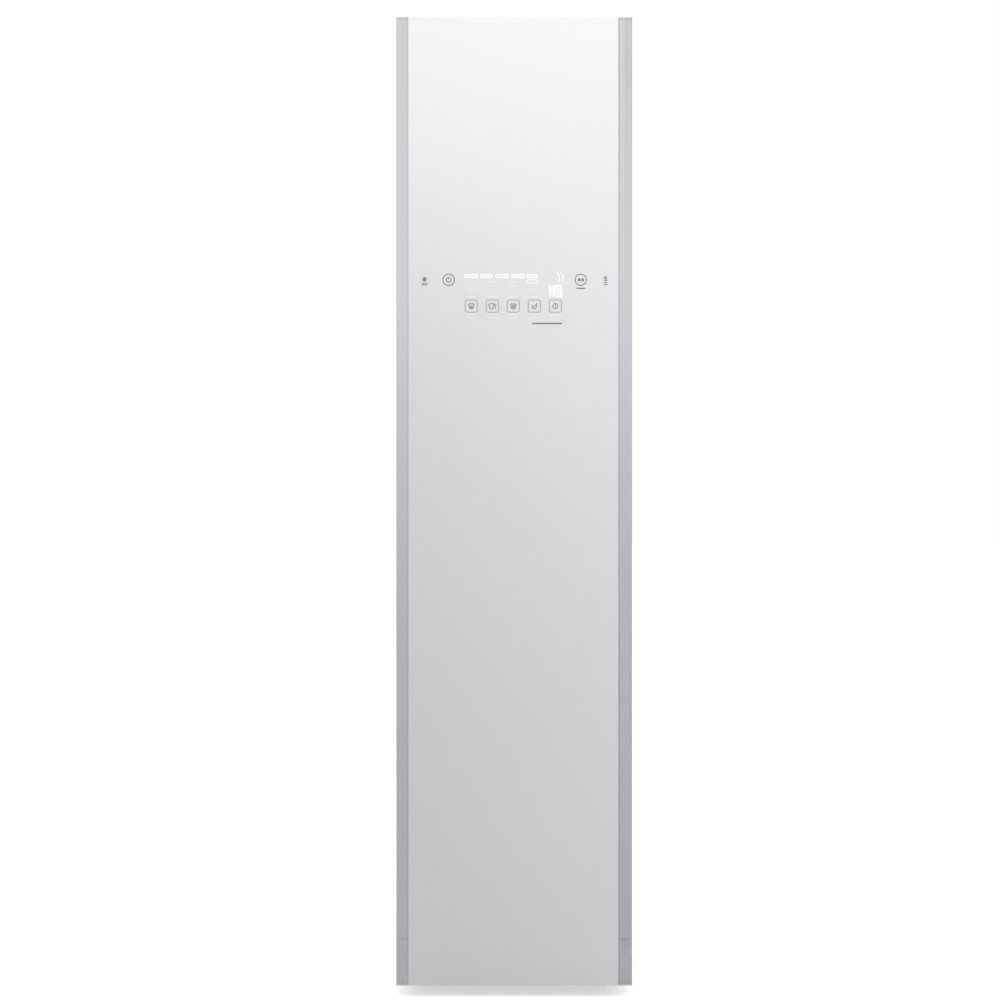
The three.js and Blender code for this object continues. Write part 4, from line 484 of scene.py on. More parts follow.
# Nylon gauze: woven white thread. It is drawn ten times coarser than life so that the mesh shows.
gauze = grained("white_nylon_gauze", ("e6e8ea", "f2f3f4"), 5, (0.5, 0.7), 0.4, 0.02)
MESH_GAP, WINDOWS, WINDOW_GAP, WALL_GAP = 4, 3, 47.5, 29
WINDOW_WIDTH, WINDOW_HEIGHT = 41.5, 91
window = span("lint_filter")[0] + Vector((15.5, 4.3, 8.5))
start_box(window, window + Vector((WINDOW_WIDTH, 0.5, WINDOW_HEIGHT)))
slice_at("x", *(window.x + 4.5 + MESH_GAP * count for count in range(9)))
slice_at("z", *(window.z + 3.5 + MESH_GAP * count for count in range(22)))
bpy.ops.object.mode_set(mode="OBJECT")
modify("WIREFRAME", thickness=0.5 * MM, use_even_offset=False)
screen = complete("lint_filter_gauze", "lint_filter", gauze, "white_plastic", angle=80)
repeat(screen, [(WINDOW_GAP * across, deep, 0) for deep in (0, WALL_GAP) for across in range(WINDOWS)
                if across or deep])
recast("aroma_case", "aroma_case", blue_tank, "blue_tank", 0.5)

# The shelf is one moulding of grey ABS, a grid that lets the warm air through. It lies loose on the
# ledges of the two side sheets, so it lifts out to make room for a long coat.
recast("shelf", "shelf", grey_abs, "grey_plastic", 1.2)

# The hanger drive above the ceiling: a stainless hanger bar on two posts, a carriage on two rods and
# a crank wheel that a belt turns. The bracket and carriage are folded and riveted from zinc-coated steel.
recast("hanger_bar", "hanger", stainless, "stainless", 0.8)
recast("hanger_carriage", "hanger", galvanised, "galvanised", 0.4)
recast("drive_bracket", "cabinet", galvanised, "galvanised", 0.4)
recast("crank_wheel", "crank_wheel", stainless, "stainless", 0.3)
recast("motor_pulley", "motor_pulley", stainless, "stainless", 0.3)
low, high = span("drive_bracket")
RIVETS_WIDE, RIVETS_DEEP = 284, 112
fixing = screw("drive_bracket_rivets", "cabinet", stainless, "stainless",
               (low.x + 14, low.y + 16.5, high.z - 0.1), (0, 0, 1), 4, 1.8)
repeat(fixing, [(across, deep, 0) for across in (0, 94.6, 189.3, RIVETS_WIDE) for deep in (0, RIVETS_DEEP)
                if (across or deep) and not (deep and 0 < across < RIVETS_WIDE)])

# A flange plate on the wheel and one on the pulley keep the belt from climbing off.
wheel, pulley = centre_of("crank_wheel"), centre_of("motor_pulley")
WHEEL_TOP = span("crank_wheel")[1].z
RIVET_CIRCLE = 23
rim = [(37.6, -0.2), (38.4, 0.2), (38.4, 1.2), (37.4, 1.6), (33, 1.6), (31, 0.7), (15, 0.7)]
hub = [(13, 3.4), (12, 3.8), (7, 3.8), (6, 3), (5.5, 1)]
build_up(wheel.xy, [(radius, WHEEL_TOP + up) for radius, up in rim + hub], 72)
complete("crank_wheel_flange", "crank_wheel", stainless, "stainless")
fixing = screw("crank_wheel_rivets", "crank_wheel", galvanised, "galvanised",
               (wheel.x + RIVET_CIRCLE, wheel.y, WHEEL_TOP + 0.6), (0, 0, 1), 3, 1.6)
repeat(fixing, [(RIVET_CIRCLE * (cos(radians(turn)) - 1), RIVET_CIRCLE * sin(radians(turn)), 0)
                for turn in range(60, 360, 60)])
rim = [(13.6, -0.2), (14.2, 0.2), (14.2, 1), (13.4, 1.4), (6, 1.4)]
hub = [(5.4, 4), (4.6, 4.6), (2, 4.6), (1.6, 3)]
build_up(pulley.xy, [(radius, WHEEL_TOP + up) for radius, up in rim + hub], 36)
complete("motor_pulley_flange", "motor_pulley", stainless, "stainless")

# The gear motor turns the pulley, whose shaft stands in the bore on top. Its can is drawn from
# zinc-coated steel, with two rolled beads and cooling slots between them.
can_foot = span("drive_motor")[0].z
lower_end = [(24, 0), (27, 0.9), (28, 3.3)]
lower_bead = [(28, 9.3), (26.8, 10.3), (26.8, 12.3), (28, 13.3)]
upper_bead = [(28, 44.3), (26.8, 45.3), (26.8, 47.3), (28, 48.3)]
upper_end = [(28, 58.8), (27.2, 59.9), (12, 60), (5.3, 60), (5.3, 46.3)]
can = lower_end + lower_bead + upper_bead + upper_end
build_up(pulley.xy, [(radius, can_foot + up) for radius, up in can])
choose(lambda middle, normal: abs(normal.z) < 0.1 and can_foot + 14 < middle.z < can_foot + 44)
bpy.ops.mesh.inset(thickness=0.9 * MM, depth=-0.6 * MM, use_individual=True)
complete("drive_motor_can", "cabinet", galvanised, "galvanised", "drive_motor")

# The belt carries the pulley's turn to the crank wheel. It is moulded in rubber, and its teeth are in
# its finish alone, since the smooth band of the CAD already has the right run.

# Belt rubber: matt black, with moulded teeth 3 mm apart that show as fine bands.
WAVE = pi / 10  # scale of a wave texture whose bands are one metre apart
belt_rubber, spot = new_finish("toothed_belt_rubber")
teeth = add(belt_rubber, "TexWave", {"Vector": spot, "Scale": WAVE / (3 * MM)}, bands_direction="Y")["Fac"]
black = add(belt_rubber, "Mix", {0: teeth, 6: linear("161617"), 7: linear("242426")}, data_type="RGBA")[2]
close_finish(belt_rubber, Base_Color=black, Roughness=0.8,
             Normal=add(belt_rubber, "Bump", {"Height": teeth, "Distance": 0.3 * MM})["Normal"])
dress(belt_rubber, "drive_belt")

# The outer shell: two side skins folded from painted sheet steel, a galvanised rear panel with vents,
# a moulded top cover and a white front frame round the chamber's and the tanks' openings.

# Powder coat: pale grey, satin, with an orange peel about 2 mm wide.
grey_coat = grained("pale_grey_powder_coat", ("b9babd", "bfc0c3"), 120, (0.36, 0.46), 2.0, 0.03)
for name in ("side_panel_left", "side_panel_right"):
    recast(name, "cabinet", grey_coat, "grey_skin", 0.3)
recast("rear_panel", "cabinet", galvanised, "galvanised", 0.15)
recast("front_frame", "cabinet", white_abs, "white_plastic", 1.4)

# The top cover is moulded in grey ABS, with a shallow field inside its edge. It is hollow below, and
# it closes the cabinet over the hanger drive.
low, high = span("top_cover")
FIELD_INSET, FIELD_DEPTH, HOLLOW, COVER_WALL = 11, 1.2, 12, 2.5
start_box(low, high)
choose(lambda middle, normal: normal.z > 0.9)
bpy.ops.mesh.inset(thickness=FIELD_INSET * MM, depth=0)
push(0, 0, -FIELD_DEPTH)
field = Vector((0, (low.y + high.y) / 2, high.z - FIELD_DEPTH))
bpy.ops.transform.resize(value=(0.997, 0.997, 1), center_override=field * MM)
choose(lambda middle, normal: normal.z < -0.9 and middle.z < low.z + 1)
bpy.ops.mesh.inset(thickness=COVER_WALL * MM, depth=0)
push(0, 0, HOLLOW)
complete("top_cover_moulding", "cabinet", grey_abs, "grey_plastic", "top_cover", round_edges=1.1)

# The rear panel is galvanised sheet steel. Six level beads rolled into it stiffen it, and pan-head
# screws of stainless steel hold it round its edge.
rear_face = span("rear_panel")[1].y
ROLLED_HALF, ROLLED_HEIGHT, ROLLED_FOOT, ROLLED_GAP = 150, 16, 330, 250
start_box((-ROLLED_HALF, rear_face - 0.2, ROLLED_FOOT),
          (ROLLED_HALF, rear_face + 0.9, ROLLED_FOOT + ROLLED_HEIGHT))
bead = complete("rear_panel_beads", "cabinet", galvanised, "galvanised", round_edges=0.5)
repeat(bead, [(0, 0, ROLLED_GAP * step) for step in range(1, 6)])
ACROSS, UP, COLUMNS, ROWS, LOWEST_ROW = 98.5, 295, 4, 6, 44
fixing = screw("rear_panel_screws", "cabinet", stainless, "stainless",
               (-ACROSS * COLUMNS / 2, rear_face - 0.05, LOWEST_ROW), (0, 1, 0), 3.6, 1.1)
repeat(fixing, [(ACROSS * column, 0, UP * row) for column in range(COLUMNS + 1) for row in range(ROWS + 1)
                if (row in (0, ROWS) or column in (0, COLUMNS)) and (row or column)])

# The gland is a black nylon fitting in the rear panel. It holds the mains lead where it comes out and
# keeps it off the edge of the sheet.
recast("lead_gland", "cabinet", black_nylon, "black_plastic", 0.4)

# The door's core is a slab cut from rigid foam, which keeps the warmth in and backs the glass. The
# board with the touch pads and the display lies in a pocket of it, close behind the glass.

# Polyurethane foam: cream and matt, with fine cells that show where it was cut.
foam = grained("rigid_polyurethane_foam", ("efe7cf", "f6f0dd"), 8, (0.85, 0.95), 0.8, 0.2)
dress(foam, "door_core")

# Circuit board: green solder mask over copper lanes 3 mm apart, which show as paler green lines.
board, spot = new_finish("green_solder_mask")
lanes = add(board, "TexBrick", {"Vector": spot, "Scale": 1 / (12 * MM), "Color1": linear("1f6b45"),
                                "Color2": linear("236f4a"), "Mortar": linear("3c8a5e"),
                                "Mortar Size": 0.06, "Brick Width": 1.0, "Row Height": 0.25})
close_finish(board, Base_Color=lanes["Color"], Roughness=0.35,
             Normal=add(board, "Bump", {"Height": lanes["Fac"], "Distance": 0.05 * MM})["Normal"])
dress(board, "touch_board")

# The front is one sheet of toughened glass over the whole height of the door, painted silver on its
# back. It stands between the two trims, and its edges are ground and polished.

# Back-painted glass: a pearl silver under 4 mm of clear glass. The paint's fine flake gives a soft sheen and
# the glass gives a sharp gloss. The silver's colour also holds painted shade: it is darker towards the foot
# of the door and, below its top, towards the left.
silver_glass, spot = new_finish("silver_back_painted_glass")
place = add(silver_glass, "SeparateXYZ", {"Vector": spot})
# painted shade: the silver darkens down the door, and towards the left except near the top
painted_height_shade = add(silver_glass, "MapRange", {"Value": place["Z"], "From Min": 0.2, "From Max": 1.6,
                                      "To Min": 0.19, "To Max": 0.94})[0]
painted_left_shade = add(silver_glass, "MapRange", {"Value": place["X"], "From Min": -0.2, "From Max": 0.2,
                                      "To Min": -0.27, "To Max": 0.1})[0]
fade = add(silver_glass, "MapRange", {"Value": place["Z"], "From Min": 1.2, "From Max": 1.75,
                                      "To Min": 1.0, "To Max": 0.0})[0]
painted_left_shade = add(silver_glass, "Math", {0: painted_left_shade, 1: fade}, operation="MULTIPLY")[0]
share = add(silver_glass, "Math", {0: painted_height_shade, 1: painted_left_shade}, operation="ADD")[0]
flake = add(silver_glass, "TexNoise", {"Vector": spot, "Scale": 1 / (0.9 * MM), "Detail": 1.0})["Fac"]
paint = add(silver_glass, "Mix", {0: share, 6: linear("c3c5c7"), 7: linear("e0e1e2")}, data_type="RGBA")[2]
speck = add(silver_glass, "Mix", {0: flake, 6: linear("f4f4f4"), 7: linear("ffffff")}, data_type="RGBA")[2]
flaked = add(silver_glass, "Mix", {0: 1.0, 6: paint, 7: speck}, data_type="RGBA", blend_type="MULTIPLY")[2]
close_finish(silver_glass, Base_Color=flaked, Roughness=0.42, Specular_IOR_Level=0.5,
             Coat_Weight=1.0, Coat_Roughness=0.05, Coat_IOR=1.5)
GLASS_FACE = span("door_glass")[0].y
start_box(*span("door_glass"))
choose(lambda middle, along: abs(along.z) > 0.9 and middle.y < GLASS_FACE + 1, "edges")
bpy.ops.mesh.bevel(offset=0.25 * MM, segments=2, affect="EDGES")
complete("door_glass_sheet", "door", silver_glass, "silver_glass", "door_glass", round_edges=0.08)

# A trim of extruded aluminium stands on each side of the glass. The left one has a channel for the
# fingers in its outer side, the right one a fine groove beside the glass; each has a short end piece.

# Satin anodised aluminium: a cool grey with a hint of violet, silky, with fine upright drawing lines.
# The tone holds painted shade: it darkens lower down, towards the floor. Near the top of the door it turns to
# a fixed grey, a little darker over the right profile's outer part.
satin_trim, spot = new_finish("satin_anodised_aluminium")
place = add(satin_trim, "SeparateXYZ", {"Vector": spot})
# painted shade: the trim's tone darkens towards the floor
painted_height_shade = add(satin_trim, "MapRange", {"Value": place["Z"], "From Min": 0.0, "From Max": 1.36})[0]
share = add(satin_trim, "Math", {0: painted_height_shade, 1: 2.0}, operation="POWER")[0]
plain = add(satin_trim, "MapRange", {"Value": place["Z"], "From Min": 1.15, "From Max": 1.75})[0]
outer = add(satin_trim, "MapRange", {"Value": place["X"], "From Min": 0.2072, "From Max": 0.2085})[0]
height_shaded_tone = add(satin_trim, "Mix", {0: share, 6: linear("a1a0a7"), 7: linear("cdccd2")}, data_type="RGBA")[2]
top_tone = add(satin_trim, "Mix", {0: outer, 6: linear("c3c2c7"), 7: linear("bababd")}, data_type="RGBA")[2]
trim_tone = add(satin_trim, "Mix", {0: plain, 6: height_shaded_tone, 7: top_tone}, data_type="RGBA")[2]
along = add(satin_trim, "Mapping", {"Vector": spot, "Scale": (1, 1, 1 / 60)})["Vector"]
lines = add(satin_trim, "TexNoise", {"Vector": along, "Scale": 1 / (0.5 * MM), "Detail": 2.0})["Fac"]
close_finish(
    satin_trim, Base_Color=trim_tone, Metallic=0.55,
    Roughness=add(satin_trim, "MapRange", {"Value": lines, "To Min": 0.34, "To Max": 0.44})[0],
    Normal=add(satin_trim, "Bump", {"Height": lines, "Distance": 0.012 * MM})["Normal"])
FALL_START, FALL_WIDTH, FALL = 204, 18.5, 1.3
SEAM = 112  # height of the seam over each end piece
GROOVE_LEFT, GROOVE_WIDTH = 196.4, 2
GROOVE_FRONT, GROOVE_BACK = GLASS_FACE + 0.1, GLASS_FACE + 1.05
for part in ("", "_end"):
    recast("door_trim_left" + part, "door", satin_trim, "satin_trim", 0.2)
    # the right profile's face falls away towards its outer edge
    right = recast("door_trim_right" + part, "door", satin_trim, "satin_trim", 0.35)
    bpy.ops.object.mode_set(mode="EDIT")
    slice_at("x", FALL_START, 209, 214, 218)
    bpy.ops.object.mode_set(mode="OBJECT")
    for corner in right.data.vertices:
        if corner.co.x > FALL_START * MM and corner.co.y < (GLASS_FACE + 3) * MM:
            corner.co.y += FALL * MM * ((corner.co.x / MM - FALL_START) / FALL_WIDTH) ** 2
    low, high = span("door_trim_right" + part)
    foot, top = (low.z, SEAM - 0.2) if part else (SEAM + 0.2, high.z)
    start_box((GROOVE_LEFT, GROOVE_FRONT, foot), (GROOVE_LEFT + GROOVE_WIDTH, GROOVE_BACK, top))
    complete("groove_strip" + part, "door", satin_trim, "satin_trim", round_edges=0.2)

# A cap closes each end of the door, behind the glass and over the ends of the trims. It is moulded in
# one piece with the boss that turns on the hinge pin.
recast("door_cap_top", "door", grey_abs, "cap_plastic", 0.35)
recast("door_cap_bottom", "door", grey_abs, "cap_plastic", 0.35)

# The door's inner liner is a white thermoformed sheet. A raised rim runs round its field inside the
# seal, and screws along both sides hold it to the trims.
recast("door_liner", "door", white_abs, "white_plastic", 0.7)
DOOR_BACK = span("door_cap_top")[1].y
RIM_HALF, RIM_FOOT, RIM_TOP, RIM_WIDTH, RIM_RISE, RIM_HOLLOW, RIM_CORNER = 187, 406, 1699, 7, 3.1, 2.9, 5
start_box((-RIM_HALF, DOOR_BACK + 0.05, RIM_FOOT), (RIM_HALF, DOOR_BACK + RIM_RISE, RIM_TOP))
choose(lambda middle, normal: normal.y > 0.9)
bpy.ops.mesh.inset(thickness=RIM_WIDTH * MM, depth=0)
push(0, -RIM_HOLLOW, 0)
choose(lambda middle, along: abs(along.y) > 0.9, "edges")
bpy.ops.mesh.bevel(offset=RIM_CORNER * MM, segments=5, affect="EDGES")
complete("door_liner_rim", "door", white_abs, "white_plastic", round_edges=0.9, angle=40)
SCREW_OUT, SCREW_FOOT, SCREW_GAP = 214.5, 130, 200
fixing = screw("door_liner_screws", "door", stainless, "stainless",
               (-SCREW_OUT, DOOR_BACK, SCREW_FOOT), (0, 1, 0), 3.4, 1.6)
repeat(fixing, [(across, 0, SCREW_GAP * row) for across, rows in ((0, range(1, 9)), (2 * SCREW_OUT, range(8)))
                for row in rows])

# The seal is a soft vinyl bellows with a magnet strip inside, pushed into the liner all round. It
# gives a little when the magnet draws the door to the front frame.

# Soft vinyl: pale grey and matt, slightly waxy, with faint marks of the extrusion along it.
soft_vinyl = grained("soft_vinyl_seal", ("cfcfcc", "d8d8d5"), 40, (0.62, 0.78), 0.9, 0.05,
                     Subsurface_Weight=0.05, Subsurface_Radius=(0.003, 0.003, 0.003))
SEAL_WIDTH, FOLD_EDGE, FOLD_DEPTH = 13, 1.8, 2.6
centre = centre_of("door_seal")
start_box(*span("door_seal"))
choose(lambda middle, normal: abs(normal.y) > 0.9)
bpy.ops.mesh.inset(thickness=SEAL_WIDTH * MM, depth=0)
choose(lambda middle, normal: abs(normal.y) > 0.9 and abs(middle.x) < 1 and abs(middle.z - centre.z) < 1)
bpy.ops.mesh.bridge_edge_loops()
choose(lambda middle, normal: abs(normal.y) < 0.1)
bpy.ops.mesh.inset(thickness=FOLD_EDGE * MM, depth=-FOLD_DEPTH * MM, use_individual=True)
complete("door_seal_bellows", "door", soft_vinyl, "seal_rubber", "door_seal", round_edges=0.6, angle=40)

# Printed marks on the glass: a power ring, five status blocks, five square keys with garment signs,
# two lit digits, a start ring and a small sign at each end. Long text is only plain bars.

# Grey ceramic ink: fired on the glass, matt, with soft edges.
dark_ink = grained("grey_ceramic_ink", ("5a5d61", "626569"), 4, (0.5, 0.62), 0.4, 0.01)
line_ink = grained("pale_grey_ceramic_ink", ("9a9ca0", "a2a4a8"), 4, (0.5, 0.62), 0.4, 0.01)

# Pearl print of the captions and of the fields behind the lit marks: a little paler than the silver.
faint_ink = grained("faint_pearl_print", ("e3e4e6", "e7e8ea"), 4, (0.4, 0.5), 0.4, 0.01)

# White display light: an even, faint glow through a window in the silver paint.
white_light = grained("white_display_light", ("eeeff1", "f3f4f6"), 3, (0.4, 0.5), 0.4, 0.01,
                      Emission_Color=linear("ffffff"), Emission_Strength=0.04)
INK_BACK, INK_FRONT = GLASS_FACE + 0.05, GLASS_FACE - 0.12


def eased(closed, points, reach=1.1):
    """A stroke with each of its corners rounded, up to a reach in millimetres on both sides of it."""
    spots = [Vector(point) for point in points]
    if len(spots) < 3:
        return closed, points
    rounded = []
    for i, spot in enumerate(spots):
        if not closed and i in (0, len(spots) - 1):
            rounded.append(spot)
            continue
        before, after = spots[i - 1] - spot, spots[(i + 1) % len(spots)] - spot
        start = spot + before.normalized() * min(reach, before.length * 0.45)
        end = spot + after.normalized() * min(reach, after.length * 0.45)
        for share in (0, 0.25, 0.5, 0.75, 1):
            rounded.append((start.lerp(spot, share)).lerp(spot.lerp(end, share), share))
    return closed, rounded


def draw(name, finish, slot, strokes, width):
    """Lines of one width on the glass, as flat bands with round corners, from points in millimetres."""
    bpy.ops.object.select_all(action="DESELECT")
    curve = bpy.data.curves.new(name, "CURVE")
    curve.dimensions, curve.bevel_resolution = "3D", 1
    curve.bevel_depth = width / 2
    for closed, points in [eased(*stroke) for stroke in strokes]:
        line = curve.splines.new("POLY")
        line.points.add(len(points) - 1)
        for spot, (x, z) in zip(line.points, points):
            spot.co = (x, 0, z, 1)
        line.use_cyclic_u = closed
    curve.use_fill_caps = True
    piece = bpy.data.objects.new(name, curve)
    bpy.context.collection.objects.link(piece)
    piece.select_set(True)
    bpy.context.view_layer.objects.active = piece
    bpy.ops.object.convert(target="MESH")
    bpy.ops.object.mode_set(mode="EDIT")
    bpy.ops.mesh.select_all(action="SELECT")
    bpy.ops.mesh.remove_doubles(threshold=0.001)
    bpy.ops.object.mode_set(mode="OBJECT")
    flat = (INK_BACK - INK_FRONT) / width
    place = Matrix.Translation((0, (INK_BACK + INK_FRONT) / 2 * MM, 0))
    bpy.context.object.data.transform(place @ Matrix.Diagonal((MM, flat * MM, MM, 1)))
    return complete(name, "door", finish, slot)


def ring(x, z, radius, start=0.0, end=360.0, sides=40):
    """An arc as a stroke, closed where it goes all the way round; angles in degrees from the right."""
    whole = end - start >= 360
    steps = sides if whole else sides + 1
    turn = [radians(start + (end - start) * i / sides) for i in range(steps)]
    return whole, [(x + radius * cos(a), z + radius * sin(a)) for a in turn]


def round_square(x, z, width, height, corner):
    """The outline of a rectangle with round corners, as a closed stroke."""
    points = []
    for quarter in range(4):
        cx = x + (width / 2 - corner) * (1 if quarter in (0, 3) else -1)
        cz = z + (height / 2 - corner) * (1 if quarter in (0, 1) else -1)
        points += ring(cx, cz, corner, 90 * quarter, 90 * quarter + 90, 5)[1]
    return True, points


def shifted(strokes, x, z):
    """Strokes drawn round zero, moved to a place."""
    return [(closed, [(x + a, z + b) for a, b in points]) for closed, points in strokes]


FIRST_KEY, KEY_GAP, KEY_SIZE = -81.0, 39.6, 23
KEYS = [FIRST_KEY + KEY_GAP * step for step in range(5)]
KEY_Z = 1305
shirt = (True, [(-2, 5), (-5.6, 3), (-4.4, 0.2), (-3.2, 1), (-3.2, -5), (3.2, -5), (3.2, 1), (4.4, 0.2),
                (5.6, 3), (2, 5), (0.9, 4), (-0.9, 4)])
steam = [(False, [(x + (0.8 if i % 2 else -0.8), -4.5 + 1.8 * i) for i in range(6)]) for x in (-2.4, 0, 2.4)]
drop = (True, [(0, 2.6), (-1.5, 0.2), (-1.7, -1.2), (-0.9, -2.4), (0.9, -2.4), (1.7, -1.2), (1.5, 0.2)])
tub = [(False, [(-4.6, 1.5), (-3.4, -4.5), (3.2, -4.5), (4.4, 1.5)]),
       (False, [(-3, 0.8), (-1, -2), (5.4, 5)])]
clock = [ring(0, 0, 4.8), (False, [(0, 3), (0, 0), (2.4, -1.2)])]
signs = (shifted([shirt, ring(0, -1.5, 1.4)], KEYS[0], KEY_Z) + shifted([shirt], KEYS[1] - 1.5, KEY_Z)
         + shifted([steam[2]], KEYS[1] + 3.4, KEY_Z) + shifted([shirt, drop], KEYS[2], KEY_Z - 0.4)
         + shifted(tub, KEYS[3], KEY_Z) + shifted(clock, KEYS[4], KEY_Z))
draw("key_signs", dark_ink, "circuit_board", signs, 1.5)
draw("key_frames", line_ink, "circuit_board",
     [round_square(x, KEY_Z, KEY_SIZE, KEY_SIZE, 3.6) for x in KEYS], 1.9)
POWER_X, START_X, ROW_Z = -123.6, 125.3, 1354.5
draw("power_and_start_rings", dark_ink, "circuit_board",
     [ring(POWER_X, ROW_Z, 10.8), ring(START_X, ROW_Z, 10.6), ring(POWER_X, ROW_Z, 4.4, 125, 415, 30),
      (False, [(POWER_X, ROW_Z + 1.4), (POWER_X, ROW_Z + 5.6)])], 1.8)
draw("start_sign", dark_ink, "circuit_board",
     [(True, [(START_X - 4, ROW_Z + 2.6), (START_X - 4, ROW_Z - 2.6), (START_X - 0.6, ROW_Z)]),
      (False, [(START_X - 3.2, ROW_Z), (START_X - 2.2, ROW_Z)]),
      (False, [(START_X + 2.2, ROW_Z + 2.8), (START_X + 2.2, ROW_Z - 2.8)]),
      (False, [(START_X + 5, ROW_Z + 2.8), (START_X + 5, ROW_Z - 2.8)]),
      (False, [(START_X - 8, ROW_Z - 16), (START_X + 8, ROW_Z - 16)])], 2.2)
LEFT_SIGN_X, RIGHT_SIGN_X = -169.2, 172
left_sign = [ring(LEFT_SIGN_X, ROW_Z + 1, 3.2), ring(LEFT_SIGN_X, ROW_Z + 1, 1.2)]
left_sign += [(False, [(LEFT_SIGN_X - left, ROW_Z - below), (LEFT_SIGN_X + right, ROW_Z - below)])
              for left, right, below in ((4.8, 4.6, 6.1), (5.8, 5.6, 9.3))]
right_sign = [(False, [(RIGHT_SIGN_X - 3.4, ROW_Z - below), (RIGHT_SIGN_X + 3.4, ROW_Z - below)])
              for below in (9, 5, 1)]
right_sign += [ring(RIGHT_SIGN_X, ROW_Z + 3.9, 2.4)]
draw("end_signs", dark_ink, "circuit_board", left_sign + right_sign, 1.8)
FOOT_LINE_Z = 1272.2
draw("foot_line", dark_ink, "circuit_board", [(False, [(34, FOOT_LINE_Z), (90, FOOT_LINE_Z)])], 2.6)
BLOCK_Z, BLOCK_HEIGHT = 1361.5, 6.6
blocks = [(-94.7, -67.4), (-64.6, -40.1), (-36.3, -9.9), (-6.1, 20.3), (22.1, 44.8)]
frames = [round_square((left + right) / 2, BLOCK_Z, right - left - 2, BLOCK_HEIGHT, 2)
          for left, right in blocks]
frames += [round_square(33.4, BLOCK_Z - 10, 20, 6, 1.5)]
draw("status_blocks", white_light, "lamp_diffuser", frames, 1.6)

# A paler field stands behind each block and behind the digits.
DIGITS_Z = 1334
fields = [((left + 1.6, BLOCK_Z - 2.7), (right - 1.6, BLOCK_Z + 2.7)) for left, right in blocks]
fields += [((65.7, DIGITS_Z - 12.4), (91.3, DIGITS_Z + 11.4))]
for count, ((left, foot), (right, top)) in enumerate(fields):
    start_box((left, INK_BACK - 0.08, foot), (right, INK_BACK, top))
    choose(lambda middle, along: abs(along.y) > 0.9, "edges")
    bpy.ops.mesh.bevel(offset=1.6 * MM, segments=4, affect="EDGES")
    complete(f"lit_field_{count}", "door", faint_ink, "lamp_diffuser")


def digit(x, z, lit):
    """A number in seven bars, from the names of those that are lit."""
    wide, high = 4.2, 11.0
    bars = {"a": [(-1, 1), (1, 1)], "b": [(1, 1), (1, 0)], "c": [(1, 0), (1, -1)], "d": [(-1, -1), (1, -1)],
            "e": [(-1, -1), (-1, 0)], "f": [(-1, 0), (-1, 1)], "g": [(-1, 0), (1, 0)]}
    return [(False, [(x + a * wide, z + b * high) for a, b in bars[bar]]) for bar in lit]


waves = [ring(x, 1358, 9.5, -50, 70, 12) for x in (76, 83)]
draw("display_digits", white_light, "lamp_diffuser",
     digit(70.6, DIGITS_Z, "bcfg") + digit(83.6, DIGITS_Z, "acdfg") + waves, 2.4)
captions = [(x, z, 17) for x in KEYS[:4] for z in (1323, 1290, 1283)] + [(KEYS[4], 1288, 22)]
captions += [(x, 1350, 14) for x in KEYS[:3]]
captions += [(KEYS[2], 1343, 16), (KEYS[0] - 1, 1338, 16), (36, 1336, 18)]
draw("caption_bars", faint_ink, "lamp_diffuser",
     [(False, [(x - wide / 2, z), (x + wide / 2, z)]) for x, z, wide in captions], 1.5)

# The trouser press folds out from the inside of the door. Its padded cover is woven polyester over
# foam, stretched on a board and held by a rail at each end, a hinge tube and an edge with a finger grip.

# Woven polyester: matt grey cloth with a plain weave. The threads are drawn 3.2 mm apart, eight times
# coarser than life, so that the weave shows.
THREAD = 3.2
cloth, spot = new_finish("woven_polyester_cover")
warp, weft = (add(cloth, "TexWave", {"Vector": spot, "Scale": WAVE / (THREAD * MM)},
                  bands_direction=axis)["Fac"] for axis in "XZ")
weave = add(cloth, "Math", {0: warp, 1: weft}, operation="MULTIPLY")[0]
tone = add(cloth, "TexNoise", {"Vector": spot, "Scale": 1 / (14 * MM), "Detail": 3.0})["Fac"]
shade = add(cloth, "Math", {0: tone, 1: weave}, operation="MULTIPLY")[0]
grey = add(cloth, "Mix", {0: shade, 6: linear("b4b8be"), 7: linear("cccfd4")}, data_type="RGBA")[2]
close_finish(cloth, Base_Color=grey, Roughness=0.92, Sheen_Weight=0.35, Sheen_Roughness=0.4,
             Normal=add(cloth, "Bump", {"Height": weave, "Distance": 0.25 * MM})["Normal"])
board_low, board_high = span("press_board")
MIDDLE_Y = centre_of("press_board").y
PAD_LEFT, PAD_RIGHT, PAD_FOOT, PAD_TOP = -141.6, 157.6, 731.4, 1508.6
FIELDS, FIELD_ROWS, COLUMN_WIDTH, SETBACK = 6, 12, 8, 0.6
CHANNEL = (PAD_TOP - PAD_FOOT) / FIELDS
SEAM_CUTS = (-3, -1.2, 1.2, 3)
seams = [PAD_FOOT + CHANNEL * count for count in range(1, FIELDS)]
start_box((PAD_LEFT, board_low.y + SETBACK, PAD_FOOT), (PAD_RIGHT, board_high.y - SETBACK, PAD_TOP))
slice_at("x", *range(-136, 158, COLUMN_WIDTH))
slice_at("z", *(PAD_FOOT + CHANNEL * count / FIELD_ROWS for count in range(1, FIELDS * FIELD_ROWS)))
slice_at("z", *(seam + away for seam in seams for away in SEAM_CUTS))
slice_at("y", MIDDLE_Y)
bpy.ops.object.mode_set(mode="OBJECT")
pad = bpy.context.object
FLAT_HALF, FULL_HALF, REACH = 3.4, 7.2, 6.0
for corner in pad.data.vertices:
    away = corner.co.y / MM - MIDDLE_Y
    corner.co.y = (MIDDLE_Y + FLAT_HALF * (0 if abs(away) < 1 else away / abs(away))) * MM

